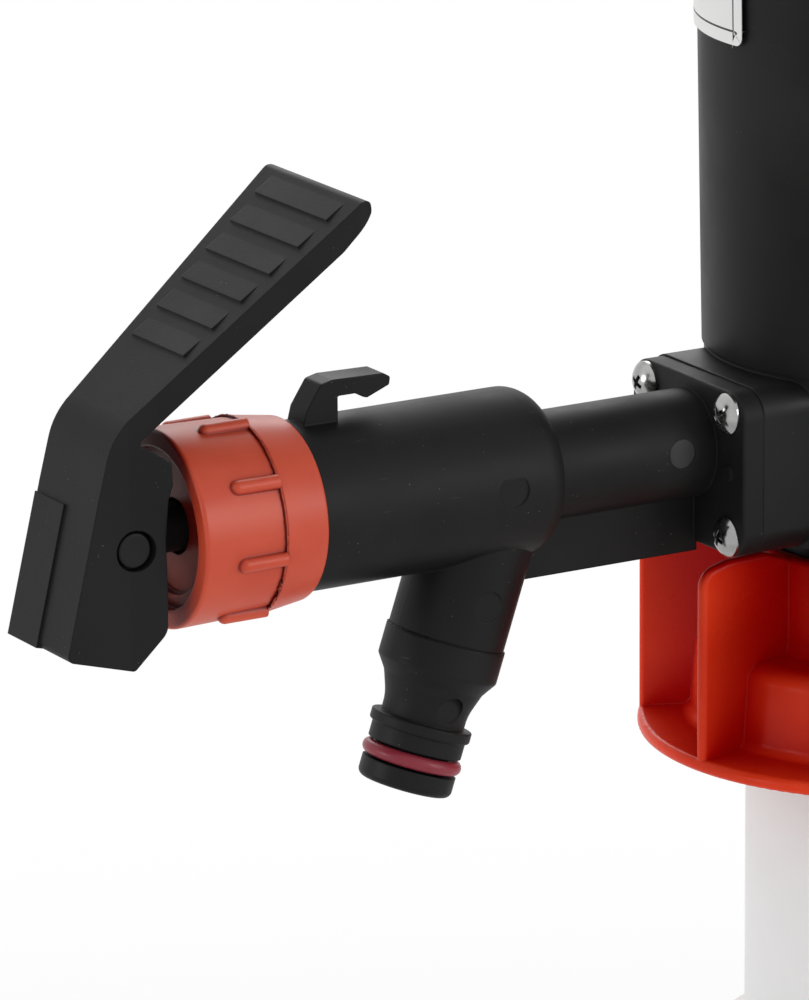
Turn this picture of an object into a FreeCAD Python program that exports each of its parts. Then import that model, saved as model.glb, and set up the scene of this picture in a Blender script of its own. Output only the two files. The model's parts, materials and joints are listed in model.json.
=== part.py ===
"""Lift pump for a drum: winged screw cap, suction tube, pump barrel and a sprung tap on an outlet arm.

Millimetres. Z = 0 is the face that rests on the drum's neck, the barrel stands on the Z axis,
and the outlet arm points along -X. The piston lifts liquid through the inner cylinder, over its
rim into the barrel, and down to the tap.
"""
import FreeCAD, Part
import math
import os

V = FreeCAD.Vector
ORIGIN = V(0, 0, 0)
X_AXIS = V(1, 0, 0)
Y_AXIS = V(0, 1, 0)
Z_AXIS = V(0, 0, 1)

# Clearances, per side
GLUED = 0.05
RUNNING = 0.05
LOOSE = 0.3
SCREW_HOLE_GAP = 0.2
RING_GAP = 0.15
TOUCH = 0.01
# How far a cutter reaches past a face, and how far a joined piece reaches into the other
PAST = 1.0
LAP = 0.5

# Suction tube, its socket and the gasket on the drum's neck
TUBE_R = 25.0
TUBE_WALL = 2.0
TUBE_LENGTH = 397.0
GASKET_THICK = 2.0
GASKET_R = 30.4
SOCKET_FLANGE_THICK = 2.5
SOCKET_FLANGE_INSET = 0.1
SOCKET_SLEEVE = 40.0
SOCKET_PLUG = 16.0
SOCKET_WALL = 3.0
SOCKET_LEAD = 2.0

# Winged cap
CAP_LIP_R = 43.3
CAP_LIP_HEIGHT = 2.3
CAP_LIP_SLOPE = 0.7
CAP_LIP_EDGE_R = 1.1
CAP_MOUTH_EDGE_R = 0.4
CAP_FOOT_ROUND = 1.8
CAP_NECK_EDGE_R = 1.1
CAP_SKIRT = 12.6
CAP_BODY_R = 33.3
CAP_BODY_DRAFT = 1.1
CAP_SHOULDER_ROUND = 3.2
CAP_ROOF = 4.5
CAP_ROOF_RISE = 0.4
CAP_THREAD_R = 31.7
CAP_THREAD_PITCH = 5.0
CAP_THREAD_RIDGE_R = 1.25
CAP_THREAD_SINK = 0.25
CAP_THREAD_TURNS = 1.5
CAP_THREAD_LIFT = 0.6
CAP_NECK_R = 24.7
CAP_NECK_HEIGHT = 16.8
WING_COUNT = 8
WING_R = 43.1
WING_THICK = 2.1
WING_RISE = 1.8
WING_ANGLE = 7.6
WING_TIP_R = 3.5
WING_TIP_INSET = 6.0
WING_TIP_DROP = 1.2
WING_CREST_R = 5.0
WING_SLOPE_START = 5.0
WING_SLOPE_DROP = 2.3
WING_EDGE_R = 0.9
WING_EDGE_SHARE = 0.45

# Adapter that hangs on the suction tube, with the cap's thread above and a pipe thread below
ADAPTER_DROP = 61.5
ADAPTER_RIM_R = 30.0
ADAPTER_NECK = 16.0
ADAPTER_THREAD_START = 1.6
ADAPTER_THREAD_TURNS = 2.5
ADAPTER_FLANGE_R = 36.0
ADAPTER_FLANGE_THICK = 8.0
ADAPTER_FLANGE_RIBS = 24
ADAPTER_RIB_R = 1.0
ADAPTER_EDGE_R = 1.2
ADAPTER_RIM_EDGE_R = 0.5
ADAPTER_THREAD_RISE = 0.15
ADAPTER_PLUG_R = 28.6
ADAPTER_PLUG = 17.0
ADAPTER_PLUG_PITCH = 2.3
ADAPTER_PLUG_TURNS = 5
ADAPTER_PLUG_RIDGE_R = 0.9
ADAPTER_PLUG_SINK = 0.2
ADAPTER_SEAL_SECTION = 2.4

# Pump head
CAP_GAP = 4.9
SPIGOT_R = 21.9
HEAD_STEP = 0.4
HEAD_HEIGHT = 28.7
HEAD_BORE_R = 19.0
PORT_R = 6.0
PORT_HEIGHT = 16.6
PORT_CLEARANCE = 0.1
LINER_SEAT_HEIGHT = 15.0
LINER_SOCKET_HEIGHT = 11.5
LINER_SOCKET_WALL = 2.15
GALLERY_WIDTH = 2.4
BLOCK_REACH = 4.9
BLOCK_HALF = 16.9
BLOCK_HEIGHT = 28.0
BLOCK_CORNER_R = 4.3

# Barrel, its label and top cap
BARREL_R = 32.7
BARREL_WALL = 3.3
BARREL_DRAFT = 0.0165
BARREL_LENGTH = 215.0
BARREL_INSERT = 4.8
BARREL_INSERT_WALL = 1.5
BARREL_SEAL_THICK = 1.2
LABEL_THICK = 0.15
LABEL_GLUE = 0.21
LABEL_BOTTOM = 53.9
LABEL_HEIGHT = 110.0
LABEL_START = -8.0
LABEL_SWEEP = 196.0
TOP_CAP_WALL = 3.0
TOP_CAP_SKIRT = 16.0
TOP_CAP_ROOF = 4.0
TOP_CAP_RIBS = 30
TOP_CAP_RIB_R = 0.9
TOP_CAP_RIB_FOOT = 1.0
TOP_CAP_RIB_DROP = 3.0
TOP_CAP_RING_WALL = 2.4
TOP_CAP_RING_LEDGE = 0.2
TOP_CAP_SKIRT_EDGE_R = 0.8
TOP_CAP_EDGE_R = 2.5
TOP_CAP_BOSS_R = 12.0
TOP_CAP_BOSS_DEPTH = 20.0
TOP_CAP_BOSS_RISE = 3.0
TOP_CAP_BOSS_FLARE = 1.5
TOP_CAP_BOSS_EDGE_R = 1.0
BUSH_LEDGE = 2.0
BUSH_LEDGE_THICK = 3.0

# Inner cylinder and piston
LINER_GAP = 4.4
LINER_WALL = 2.0
LINER_PLUG = 6.0
LINER_HEADROOM = 13.0
OVERFLOW_R = 4.0
OVERFLOW_COUNT = 4
OVERFLOW_DROP = 12.0
PISTON_REST = 24.0
PISTON_THICK = 16.0
PISTON_GAP = 0.5
PISTON_SEAL_WIDTH = 7.0
PISTON_SEAL_DEPTH = 2.6
PISTON_EDGE_R = 0.5
SEAL_LIP = 1.2
SEAL_WAIST_DEPTH = 1.0
SEAL_WAIST = 1.6
SEAL_WAIST_R = 0.5
FLOW_HOLE_COUNT = 6
FLOW_HOLE_R = 2.6
FLOW_CIRCLE_R = 11.5
HUB_R = 6.0
HUB_HEIGHT = 10.0
HUB_EDGE_R = 0.4
STOP_GROOVE = 0.5
DISC_R = 15.0
DISC_THICK = 1.8
DISC_LIFT = 2.5
STOP_R = 10.0
STOP_THICK = 1.5

# Piston rod and handle
ROD_R = 5.0
ROD_TIP_R = 4.0
ROD_NECK_R = 3.2
ROD_END = 1.0
ROD_END_EDGE_R = 0.3
CLIP_R = 7.0
CLIP_THICK = 1.2
CLIP_RECESS = 3.0
CLIP_GRIP = 0.4
BUSH_R = 7.95
BUSH_FLANGE_R = 10.5
BUSH_FLANGE_THICK = 2.0
BUSH_FLANGE_EDGE_R = 0.6
BUSH_BORE_EDGE_R = 0.4
ROD_SEAL_THICK = 3.0
HANDLE_GAP = 6.0
HANDLE_LENGTH = 110.0
HANDLE_R = 12.0
HANDLE_WAIST = 1.6
HANDLE_WAIST_PLACE = 0.4
HANDLE_SWELL_PLACE = 0.72
HANDLE_END_ROUND = 5.0
HANDLE_CURVE_R = 20.0
HANDLE_MIDDLE_CURVE_R = 30.0
HANDLE_HUB_R = 10.0
HANDLE_HUB_FLARE = 1.0
HANDLE_HUB_EDGE_R = 1.0
HANDLE_HUB_HEIGHT = 24.0
HANDLE_SCREW_R = 2.45
HANDLE_SCREW_LENGTH = 18.0
HANDLE_SCREW_HEAD_R = 4.8
HANDLE_SCREW_HEAD = 3.0
HANDLE_SCREW_SUNK = 1.5
HANDLE_SCREW_HEAD_GAP = 0.3

# Foot valve and strainer
FOOT_FLANGE_THICK = 3.0
FOOT_EDGE_R = 1.0
FOOT_BODY_WALL = 2.45
SEAT_R = 8.0
SEAT_FLOOR = 4.0
BALL_R = 10.0
BALL_LIFT = 6.0
CAGE_FIN_THICK = 2.4
CAGE_FINS = 4
CAGE_RING_WALL = 2.5
CAGE_RING = 4.0
STRAINER_R = 24.0
STRAINER_WALL = 1.6
STRAINER_DEPTH = 26.0
STRAINER_SLOTS = 16
STRAINER_SLOT_WIDTH = 3.0
STRAINER_SLOT_DEPTH = 4.0
STRAINER_SLOT_INSET = 5.0
STRAINER_EDGE_R = 3.0
STRAINER_INNER_EDGE_R = 1.6
STRAINER_HOLE_PLACE = 0.55
STRAINER_HOLE_R = 2.0

# Outlet arm
FLANGE_THICK = 3.9
FLANGE_HEIGHT = 27.7
FLANGE_EDGE_R = 0.5
SCREW_SPREAD = 12.4
SCREW_LOW = 3.3
SCREW_HIGH = 24.1
SCREW_R = 1.45
SCREW_HEAD_R = 3.4
SCREW_HEAD = 2.4
SCREW_LENGTH = 10.5
SCREW_TIP_ROOM = 0.5
SCREW_FIRST_TURN = 20
SCREW_NEXT_TURN = 33
FACE_RING_R = 9.5
FACE_RING_SECTION = 1.9
THIN_TUBE_R = 9.0
PASSAGE_R = 5.5
THIN_TUBE_LENGTH = 35.0
SHOULDER_R = 4.9
DOT_R = 1.2
DOT_HEIGHT = 0.4
DOT_DROP = 2.6
BODY_R = 13.9
BODY_LENGTH = 41.5
BODY_NECK_R = 12.7
BODY_NECK_LENGTH = 13.5
CHAMBER_R = 10.5
CHAMBER_FLOOR = 32.5
CHAMBER_EDGE_R = 1.0
SEAT_RING_WALL = 1.5
SEAT_RING_RISE = 1.0
WEB_THICK = 4.0
WEB_DROP = 18.1
MARK_DEPTH = 0.3
MARK_INSET = 6.6
MARK_RISE = 0.8
BODY_MARK_R = 2.7
TUBE_MARK_R = 2.5
HOOK_WIDTH = 5.2
# Corners of the hook beside the body's left end: distance right, height over the axis, rounding
HOOK_OUTLINE = [
    (2.0, 12.0, 0), (3.0, 16.0, 0.6), (5.7, 20.1, 1.0), (7.8, 20.6, 1.5), (17.2, 20.4, 1.0),
    (18.4, 19.7, 0.5), (18.2, 18.4, 0.4), (14.1, 16.8, 0.3), (13.4, 17.0, 0.2),
    (11.9, 17.8, 0.3), (8.7, 17.8, 0.3), (8.7, 12.0, 0),
]

# Spout and hose nipple, measured along the spout's axis
SPOUT_TILT = 19.0
SPOUT_INSET = 2.4
SPOUT_R = 9.65
SPOUT_LENGTH = 27.7
SPOUT_BORE_R = 4.8
SPOUT_MARK = 20.3
NIPPLE_MARK = 10.7
NIPPLE_MARK_R = 2.2
NIPPLE_PLUG_R = 7.0
NIPPLE_PLUG = 10.0
NIPPLE_PLUG_GAP = 0.2
BAND_R = 9.95
BAND_LENGTH = 5.2
SHOULDER_END_R = 8.3
SHOULDER_END = 7.6
NIPPLE_NECK_R = 6.95
NIPPLE_NECK_START = 11.5
NIPPLE_COLLAR_R = 8.4
NIPPLE_COLLAR_START = 14.0
NIPPLE_COLLAR = 1.9
NIPPLE_LAND_R = 7.8
NIPPLE_LAND_END = 18.7
NIPPLE_RING_R = 8.3
NIPPLE_RING_SECTION = 2.4
NIPPLE_NOSE_R = 7.85
NIPPLE_NOSE_START = 21.8
NIPPLE_END = 25.3
# Roundings of the nozzle, from the plug to the nose
PLUG_EDGE_R = 0.5
SEAM_EDGE_R = 0.2
BAND_EDGE_R = 0.8
SHOULDER_EDGE_R = 1.0
NECK_CURVE_R = 8.0
COLLAR_BACK_EDGE_R = 0.3
COLLAR_EDGE_R = 0.4
NOSE_EDGE_R = 1.2

# Gland nut, stem and spring
NUT_LENGTH = 22.8
NUT_RIM_R = 16.2
NUT_STEP = 14.5
NUT_STEP_R = 15.85
NUT_RING_R = 16.2
NUT_EDGE_R = 15.0
NUT_GAP = 0.2
NUT_FLOOR = 4.3
NUT_HOLE_GAP = 0.6
NUT_RIM_WALL = 3.1
NUT_RIM_DEPTH = 2.0
NUT_INNER_STEP = 2.2
NUT_SMALL_EDGE_R = 0.3
NUT_EDGE_ROUND = 0.4
NUT_RIM_ROUND = 0.6
NUB_COUNT = 8
NUB_WIDTH = 2.4
NUB_PROUD = 1.0
NUB_INSET = 5.9
NUB_ANGLE = 33.2
GUIDE_FLANGE_THICK = 2.0
GUIDE_LENGTH = 10.0
STEM_R = 4.0
STEM_RING_SECTION = 2.0
STEM_RING_INSET = 1.6
STEM_GROOVE_ROOM = 0.4
STEM_GROOVE_GAP = 0.1
GUIDE_FLANGE_INSET = 0.1
HOLDER_R = 8.0
HOLDER_LENGTH = 4.0
HOLDER_EDGE_R = 0.4
STEM_END_ROUND = 2.5
STEM_PIN_GAP = 0.03
TAP_DISC_R = 7.8
TAP_DISC_THICK = 2.7
SPRING_R = 6.5
SPRING_WIRE_R = 0.6
SPRING_TURNS = 12

# Lever, measured from its pin
PIN_REACH = 9.14
PIN_R = 2.0
PIN_HEAD_R = 2.9
PIN_HEAD = 1.5
PIN_HEAD_RECESS_R = 3.35
PIN_SUNK = 0.2
PIN_HEAD_EDGE_R = 0.4
STEM_END = 4.6
LEVER_HALF = 9.6
LEVER_TIP_HALF = 15.8
LEVER_FAN_START = -1.0
LEVER_TIP_CORNER_R = 3.5
LEVER_SLOT_TOP = 9.6
# Corners of the lever's side: distance right of the pin, height over it, rounding
LEVER_OUTLINE = [
    (39.9, 53.6, 1.5), (-3.9, 18.8, 12.0), (-6.6, 8.3, 8.0), (-12.46, -16.3, 1.2),
    (-0.46, -19.65, 0.8), (5.14, -13.8, 3.0), (5.14, -6.3, 4.0), (4.94, 1.2, 4.0), (5.49, 7.7, 1.0),
    (6.24, 10.05, 1.0), (6.14, 13.6, 1.0), (3.34, 15.55, 1.0), (0.94, 16.95, 0.6),
    (1.1, 17.65, 0.4), (35.14, 44.65, 5.0), (40.6, 50.4, 0.8),
]
LEVER_BACK_WALL = 3.0
LEVER_SLOT_EDGE_R = 1.0
LEVER_SKIN = 2.2
LEVER_EDGE = 1.8
LEVER_FAN_REACH = 1.0
POCKET_START = 6.0
POCKET_LENGTH = 44.0
POCKET_DEPTH = 6.0
RIDGE_COUNT = 6
RIDGE_FIRST = 7.4
RIDGE_STEP = 6.2
RIDGE_LENGTH = 4.0
RIDGE_HEIGHT = 0.35
RIDGE_HALF = 11.4
RIDGE_NARROWING = 0.6
PAD_HEIGHT = 0.4
PAD_START = 2.0

# Levels that follow from the sizes above
FLANGE_BOTTOM_Z = GASKET_THICK
FLANGE_TOP_Z = FLANGE_BOTTOM_Z + SOCKET_FLANGE_THICK
CAP_CEILING_Z = FLANGE_TOP_Z + LOOSE
CAP_BOTTOM_Z = CAP_CEILING_Z - CAP_SKIRT
CAP_SHOULDER_Z = CAP_CEILING_Z + CAP_ROOF
CAP_NECK_TOP_Z = CAP_SHOULDER_Z + CAP_NECK_HEIGHT
HEAD_BOTTOM_Z = CAP_NECK_TOP_Z + CAP_GAP
HEAD_TOP_Z = HEAD_BOTTOM_Z + HEAD_HEIGHT
ARM_Z = HEAD_BOTTOM_Z + PORT_HEIGHT
LINER_BOTTOM_Z = HEAD_BOTTOM_Z + LINER_SEAT_HEIGHT
BARREL_TOP_Z = HEAD_TOP_Z + BARREL_LENGTH
LINER_TOP_Z = BARREL_TOP_Z - LINER_HEADROOM
PISTON_Z = LINER_BOTTOM_Z + PISTON_REST
PISTON_TOP_Z = PISTON_Z + PISTON_THICK
HUB_TOP_Z = PISTON_TOP_Z + HUB_HEIGHT
TOP_CAP_Z = BARREL_TOP_Z + TOP_CAP_ROOF
BUSH_TOP_Z = TOP_CAP_Z + TOP_CAP_BOSS_RISE + BUSH_FLANGE_THICK
HANDLE_HUB_Z = BUSH_TOP_Z + HANDLE_GAP
HANDLE_Z = HANDLE_HUB_Z + HANDLE_HUB_HEIGHT
ROD_TOP_Z = HANDLE_Z + 2.0
TUBE_BOTTOM_Z = FLANGE_BOTTOM_Z - TUBE_LENGTH
TUBE_BORE_R = TUBE_R - TUBE_WALL
ADAPTER_TOP_Z = -ADAPTER_DROP
ADAPTER_FLANGE_TOP_Z = ADAPTER_TOP_Z - ADAPTER_NECK
ADAPTER_FLANGE_BOTTOM_Z = ADAPTER_FLANGE_TOP_Z - ADAPTER_FLANGE_THICK
ADAPTER_BOTTOM_Z = ADAPTER_FLANGE_BOTTOM_Z - ADAPTER_PLUG

# Radii and half widths of the head, which follow from the barrel
BARREL_BORE_R = BARREL_R - BARREL_WALL
LINER_R = BARREL_BORE_R - LINER_GAP
LINER_BORE_R = LINER_R - LINER_WALL
HEAD_R = BARREL_R - HEAD_STEP
LINER_SOCKET_R = LINER_R + GLUED
GALLERY_IN_R = LINER_SOCKET_R + LINER_SOCKET_WALL
GALLERY_OUT_R = GALLERY_IN_R + GALLERY_WIDTH
INSERT_R = BARREL_BORE_R + BARREL_INSERT_WALL
COUNTERBORE_R = INSERT_R + GLUED
INSERT_BOTTOM_Z = HEAD_TOP_Z - BARREL_INSERT
SEAL_BOTTOM_Z = INSERT_BOTTOM_Z - BARREL_SEAL_THICK

# Places along the outlet arm
BLOCK_X = -(BARREL_R + BLOCK_REACH)
ARM_X = BLOCK_X - FLANGE_THICK
BODY_START_X = ARM_X - THIN_TUBE_LENGTH
BODY_END_X = BODY_START_X - BODY_LENGTH
NECK_END_X = BODY_END_X - BODY_NECK_LENGTH
CHAMBER_X = ARM_X - CHAMBER_FLOOR
SEAT_X = CHAMBER_X - SEAT_RING_RISE
TAP_DISC_X = SEAT_X - LOOSE
HOLDER_X = TAP_DISC_X - TAP_DISC_THICK
STEM_START_X = HOLDER_X - HOLDER_LENGTH
SPOUT_X = BODY_START_X - SPOUT_INSET
GUIDE_FLANGE_X = NECK_END_X - GUIDE_FLANGE_THICK
GUIDE_INNER_X = NECK_END_X + GUIDE_LENGTH
NUT_EDGE_X = BODY_END_X - NUT_GAP
NUT_RIM_X = NUT_EDGE_X - NUT_LENGTH
NUT_STEP_X = NUT_RIM_X + NUT_STEP
PIN_X = NUT_RIM_X - PIN_REACH
GUIDE_BORE_R = STEM_R + RUNNING
LEVER_SLOT_HALF = STEM_R + 0.4


def moved(shape, x=0, y=0, z=0):
    """A copy of the shape at another place."""
    copy = shape.copy()
    copy.translate(V(x, y, z))
    return copy


def turned_about(shape, axis, degrees, centre=ORIGIN):
    """A copy of the shape turned about an axis."""
    copy = shape.copy()
    copy.rotate(centre, axis, degrees)
    return copy


def box(x0, x1, y0, y1, z0, z1):
    """A box between two corners."""
    return Part.makeBox(x1 - x0, y1 - y0, z1 - z0, V(x0, y0, z0))


def rod_z(radius, z0, z1, x=0, y=0):
    """An upright cylinder."""
    return Part.makeCylinder(radius, z1 - z0, V(x, y, z0), Z_AXIS)


def rod_x(radius, x0, x1, y=0, z=ARM_Z):
    """A cylinder along X, on the arm's axis unless told otherwise."""
    return Part.makeCylinder(radius, x1 - x0, V(x0, y, z), X_AXIS)


def ring_z(outer, inner, z0, z1):
    """An upright tube."""
    return rod_z(outer, z0, z1).cut(rod_z(inner, z0, z1))


def ring_x(outer, inner, x0, x1):
    """A tube on the arm's axis."""
    return rod_x(outer, x0, x1).cut(rod_x(inner, x0, x1))


def outline(points):
    """Closed wire in the XZ plane. A point is (x, z) or (x, z, rounding radius)."""
    corners = [V(p[0], 0, p[1]) for p in points]
    radii = [p[2] if len(p) > 2 else 0 for p in points]
    count = len(corners)
    starts = []
    ends = []
    middles = []
    for i in range(count):
        here = corners[i]
        back = (corners[i - 1] - here).normalize()
        ahead = (corners[(i + 1) % count] - here).normalize()
        half = math.acos(max(-1.0, min(1.0, back.dot(ahead)))) / 2
        if radii[i] == 0 or half > math.radians(89.5):
            starts.append(here)
            ends.append(here)
            middles.append(None)
            continue
        reach = radii[i] / math.tan(half)
        inward = (back + ahead).normalize()
        starts.append(here + back * reach)
        ends.append(here + ahead * reach)
        middles.append(here + inward * (radii[i] / math.sin(half) - radii[i]))
    edges = []
    for i in range(count):
        if middles[i] is not None:
            edges.append(Part.Arc(starts[i], middles[i], ends[i]).toShape())
        following = starts[(i + 1) % count]
        if ends[i].distanceToPoint(following) > 0.001:
            edges.append(Part.LineSegment(ends[i], following).toShape())
    return Part.Wire(edges)


def revolved_z(points):
    """A body turned about Z from an outline of (radius, z)."""
    return Part.Face(outline(points)).revolve(ORIGIN, Z_AXIS, 360)


def revolved_x(points):
    """A body turned about the arm's axis from an outline of (x, radius)."""
    solid = Part.Face(outline(points)).revolve(ORIGIN, X_AXIS, 360)
    return moved(solid, z=ARM_Z)


def slab_y(points, y0, y1):
    """An XZ outline given thickness along Y."""
    wire = outline(points)
    wire.translate(V(0, y0, 0))
    return Part.Face(wire).extrude(V(0, y1 - y0, 0))


def rounded_block_x(x0, x1, y0, y1, z0, z1, radius):
    """A box whose edges along X are rounded."""
    block = box(x0, x1, y0, y1, z0, z1)
    along = [e for e in block.Edges if abs(e.tangentAt(0).x) > 0.9]
    return block.makeFillet(radius, along)


def around_z(shape, count, start=0.0):
    """Copies of a shape, evenly spaced about Z."""
    return [turned_about(shape, Z_AXIS, start + 360.0 * i / count) for i in range(count)]


def around_x(shape, count, start=0.0):
    """Copies of a shape, evenly spaced about the arm's axis."""
    centre = V(0, 0, ARM_Z)
    return [turned_about(shape, X_AXIS, start + 360.0 * i / count, centre) for i in range(count)]


def along_spout(shape):
    """Place a shape made on +Z from the origin onto the tilted spout's axis."""
    tilted = turned_about(shape, Y_AXIS, 180 + SPOUT_TILT)
    return moved(tilted, x=SPOUT_X, z=ARM_Z)


def helix_point(radius, rise, turn):
    """Point and unit direction on a helix about Z, at a number of turns from its start."""
    angle = 2 * math.pi * turn
    point = V(radius * math.cos(angle), radius * math.sin(angle), rise * turn)
    tangent = V(-radius * math.sin(angle), radius * math.cos(angle), rise / (2 * math.pi))
    return point, tangent.normalize()


def biarc(p0, t0, p1, t1):
    """Two arcs that leave p0 along t0, meet smoothly, and reach p1 along t1."""
    chord = p1 - p0
    both = t0 + t1
    square = 2 * (1 - t0.dot(t1))
    half = chord.dot(both)
    reach = (-half + math.sqrt(half * half + square * chord.dot(chord))) / square
    meet = (p0 + t0 * reach + p1 - t1 * reach) * 0.5
    arcs = []
    for start, corner, end in ((p0, p0 + t0 * reach, meet), (meet, p1 - t1 * reach, p1)):
        back = (start - corner).normalize()
        ahead = (end - corner).normalize()
        angle = math.acos(back.dot(ahead)) / 2
        radius = start.distanceToPoint(corner) * math.tan(angle)
        middle = corner + (back + ahead).normalize() * (radius / math.sin(angle) - radius)
        arcs.append(Part.Arc(start, middle, end).toShape())
    return arcs


def coiled_wire(radius, rise, turns, wire_r):
    """A round wire wound about Z, from z = 0 up to rise times turns."""
    edges = []
    spans = int(round(turns * 4))
    for i in range(spans):
        p0, t0 = helix_point(radius, rise, i / 4)
        p1, t1 = helix_point(radius, rise, (i + 1) / 4)
        edges.extend(biarc(p0, t0, p1, t1))
    start, direction = helix_point(radius, rise, 0)
    section = Part.Wire(Part.Circle(start, direction, wire_r).toShape())
    shell = Part.BRepOffsetAPI.MakePipeShell(Part.Wire(edges))
    shell.add(section)
    shell.build()
    shell.makeSolid()
    return shell.shape()


def joined(first, others):
    """One solid from a body and the shapes that grow out of it."""
    return first.fuse(others).removeSplitter()


def ring_seal(major, minor):
    """A round-section ring lying flat at the origin."""
    return Part.makeTorus(major, minor)


def cross_recess(radius, depth):
    """The cross cut in a screw's head, from a little over z = 0 down to its depth."""
    width = radius * 0.34
    wedge = slab_y([(-radius * 0.62, 0.5), (radius * 0.62, 0.5), (radius * 0.3, -depth),
                    (-radius * 0.3, -depth)], -width / 2, width / 2)
    return wedge.fuse(turned_about(wedge, Z_AXIS, 90))


def pan_screw(shank_r, length, head_r, head_height):
    """A pan-head screw pointing down from z = 0, its cross-recessed head above."""
    screw = revolved_z([
        (0, -length), (shank_r * 0.35, -length), (shank_r, -length + 2 * shank_r), (shank_r, 0),
        (head_r, 0, 0.2), (head_r, head_height * 0.72, head_height * 0.4), (0, head_height)])
    recess = moved(cross_recess(head_r, head_height * 0.75), z=head_height)
    return screw.cut(recess)


def make_suction_tube():
    return ring_z(TUBE_R, TUBE_BORE_R, TUBE_BOTTOM_Z, FLANGE_BOTTOM_Z)


def make_cap_gasket():
    return ring_z(GASKET_R, TUBE_R + LOOSE, 0, GASKET_THICK)


def make_tube_socket():
    """Flanged sleeve: down into the tube, up into the head, and the flange carries the loose cap."""
    sleeve_r = TUBE_BORE_R - GLUED
    plug_r = HEAD_BORE_R - GLUED
    bore_r = plug_r - SOCKET_WALL
    flange_r = GASKET_R - SOCKET_FLANGE_INSET
    bottom = FLANGE_BOTTOM_Z - SOCKET_SLEEVE
    top = FLANGE_TOP_Z + SOCKET_PLUG
    return revolved_z([
        (bore_r, bottom), (sleeve_r - SOCKET_LEAD / 2, bottom), (sleeve_r, bottom + SOCKET_LEAD),
        (sleeve_r, FLANGE_BOTTOM_Z), (flange_r, FLANGE_BOTTOM_Z), (flange_r, FLANGE_TOP_Z),
        (plug_r, FLANGE_TOP_Z), (plug_r, top), (bore_r, top)])


def make_wing():
    """One wing of the cap, standing in the XZ plane on the +X side, with its edges rounded."""
    top = CAP_NECK_TOP_Z + WING_RISE
    low = CAP_BOTTOM_Z + CAP_LIP_HEIGHT / 2
    roof = CAP_CEILING_Z + CAP_ROOF / 4
    skirt_r = CAP_THREAD_R + (CAP_BODY_R - CAP_THREAD_R) / 2
    neck_bore_r = SPIGOT_R + LOOSE
    root_r = neck_bore_r + (CAP_NECK_R - neck_bore_r) / 3
    wing = slab_y([
        (root_r, roof), (skirt_r, roof), (skirt_r, low), (WING_R, low),
        (WING_R, top - WING_TIP_DROP, WING_TIP_R), (WING_R - WING_TIP_INSET, top, WING_CREST_R),
        (CAP_NECK_R + WING_SLOPE_START, top, WING_CREST_R), (root_r, top - WING_SLOPE_DROP)],
        -WING_THICK / 2, WING_THICK / 2)
    flat = [e for e in wing.Edges if abs(e.tangentAt(e.FirstParameter).y) < 0.5]
    return wing.makeFillet(min(WING_EDGE_R, WING_THICK * WING_EDGE_SHARE), flat)


def make_cap_thread():
    """Rounded thread ridge inside the cap, its middle a little inside the wall."""
    ridge = coiled_wire(CAP_THREAD_R + CAP_THREAD_SINK, CAP_THREAD_PITCH, CAP_THREAD_TURNS,
                        CAP_THREAD_RIDGE_R)
    return moved(ridge, z=CAP_BOTTOM_Z + CAP_THREAD_RIDGE_R + CAP_THREAD_LIFT)


def make_drum_cap():
    """Screw cap: lip, threaded skirt, roof and neck, with wings to turn it by."""
    bore_r = SPIGOT_R + LOOSE
    lip_top = CAP_BOTTOM_Z + CAP_LIP_HEIGHT
    foot_r = CAP_BODY_R + CAP_BODY_DRAFT
    shell = revolved_z([
        (CAP_THREAD_R, CAP_BOTTOM_Z, CAP_MOUTH_EDGE_R), (CAP_LIP_R, CAP_BOTTOM_Z, CAP_LIP_EDGE_R),
        (CAP_LIP_R, lip_top, CAP_LIP_EDGE_R), (foot_r, lip_top + CAP_LIP_SLOPE, CAP_FOOT_ROUND),
        (CAP_BODY_R, CAP_SHOULDER_Z, CAP_SHOULDER_ROUND),
        (CAP_NECK_R, CAP_SHOULDER_Z + CAP_ROOF_RISE, CAP_FOOT_ROUND),
        (CAP_NECK_R, CAP_NECK_TOP_Z, CAP_NECK_EDGE_R), (bore_r, CAP_NECK_TOP_Z, CAP_MOUTH_EDGE_R),
        (bore_r, CAP_CEILING_Z), (CAP_THREAD_R, CAP_CEILING_Z)])
    wings = around_z(make_wing(), WING_COUNT, WING_ANGLE)
    winged = joined(shell, wings)
    return joined(winged, [make_cap_thread()])


def adapter_threads():
    """Ridges of the adapter's two threads: one fits the cap, the other a drum's bung."""
    upper_r = ADAPTER_RIM_R + ADAPTER_THREAD_RISE
    upper = coiled_wire(upper_r, CAP_THREAD_PITCH, ADAPTER_THREAD_TURNS, CAP_THREAD_RIDGE_R)
    upper_z = ADAPTER_TOP_Z - ADAPTER_THREAD_START - ADAPTER_THREAD_TURNS * CAP_THREAD_PITCH
    lower_r = ADAPTER_PLUG_R - ADAPTER_PLUG_SINK
    lower = coiled_wire(lower_r, ADAPTER_PLUG_PITCH, ADAPTER_PLUG_TURNS, ADAPTER_PLUG_RIDGE_R)
    lower_z = ADAPTER_BOTTOM_Z + 2 * ADAPTER_PLUG_RIDGE_R
    return [moved(upper, z=upper_z), moved(lower, z=lower_z)]


def adapter_seal_z():
    """Level of the seal in the adapter's bore."""
    return (ADAPTER_FLANGE_TOP_Z + ADAPTER_FLANGE_BOTTOM_Z) / 2


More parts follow.
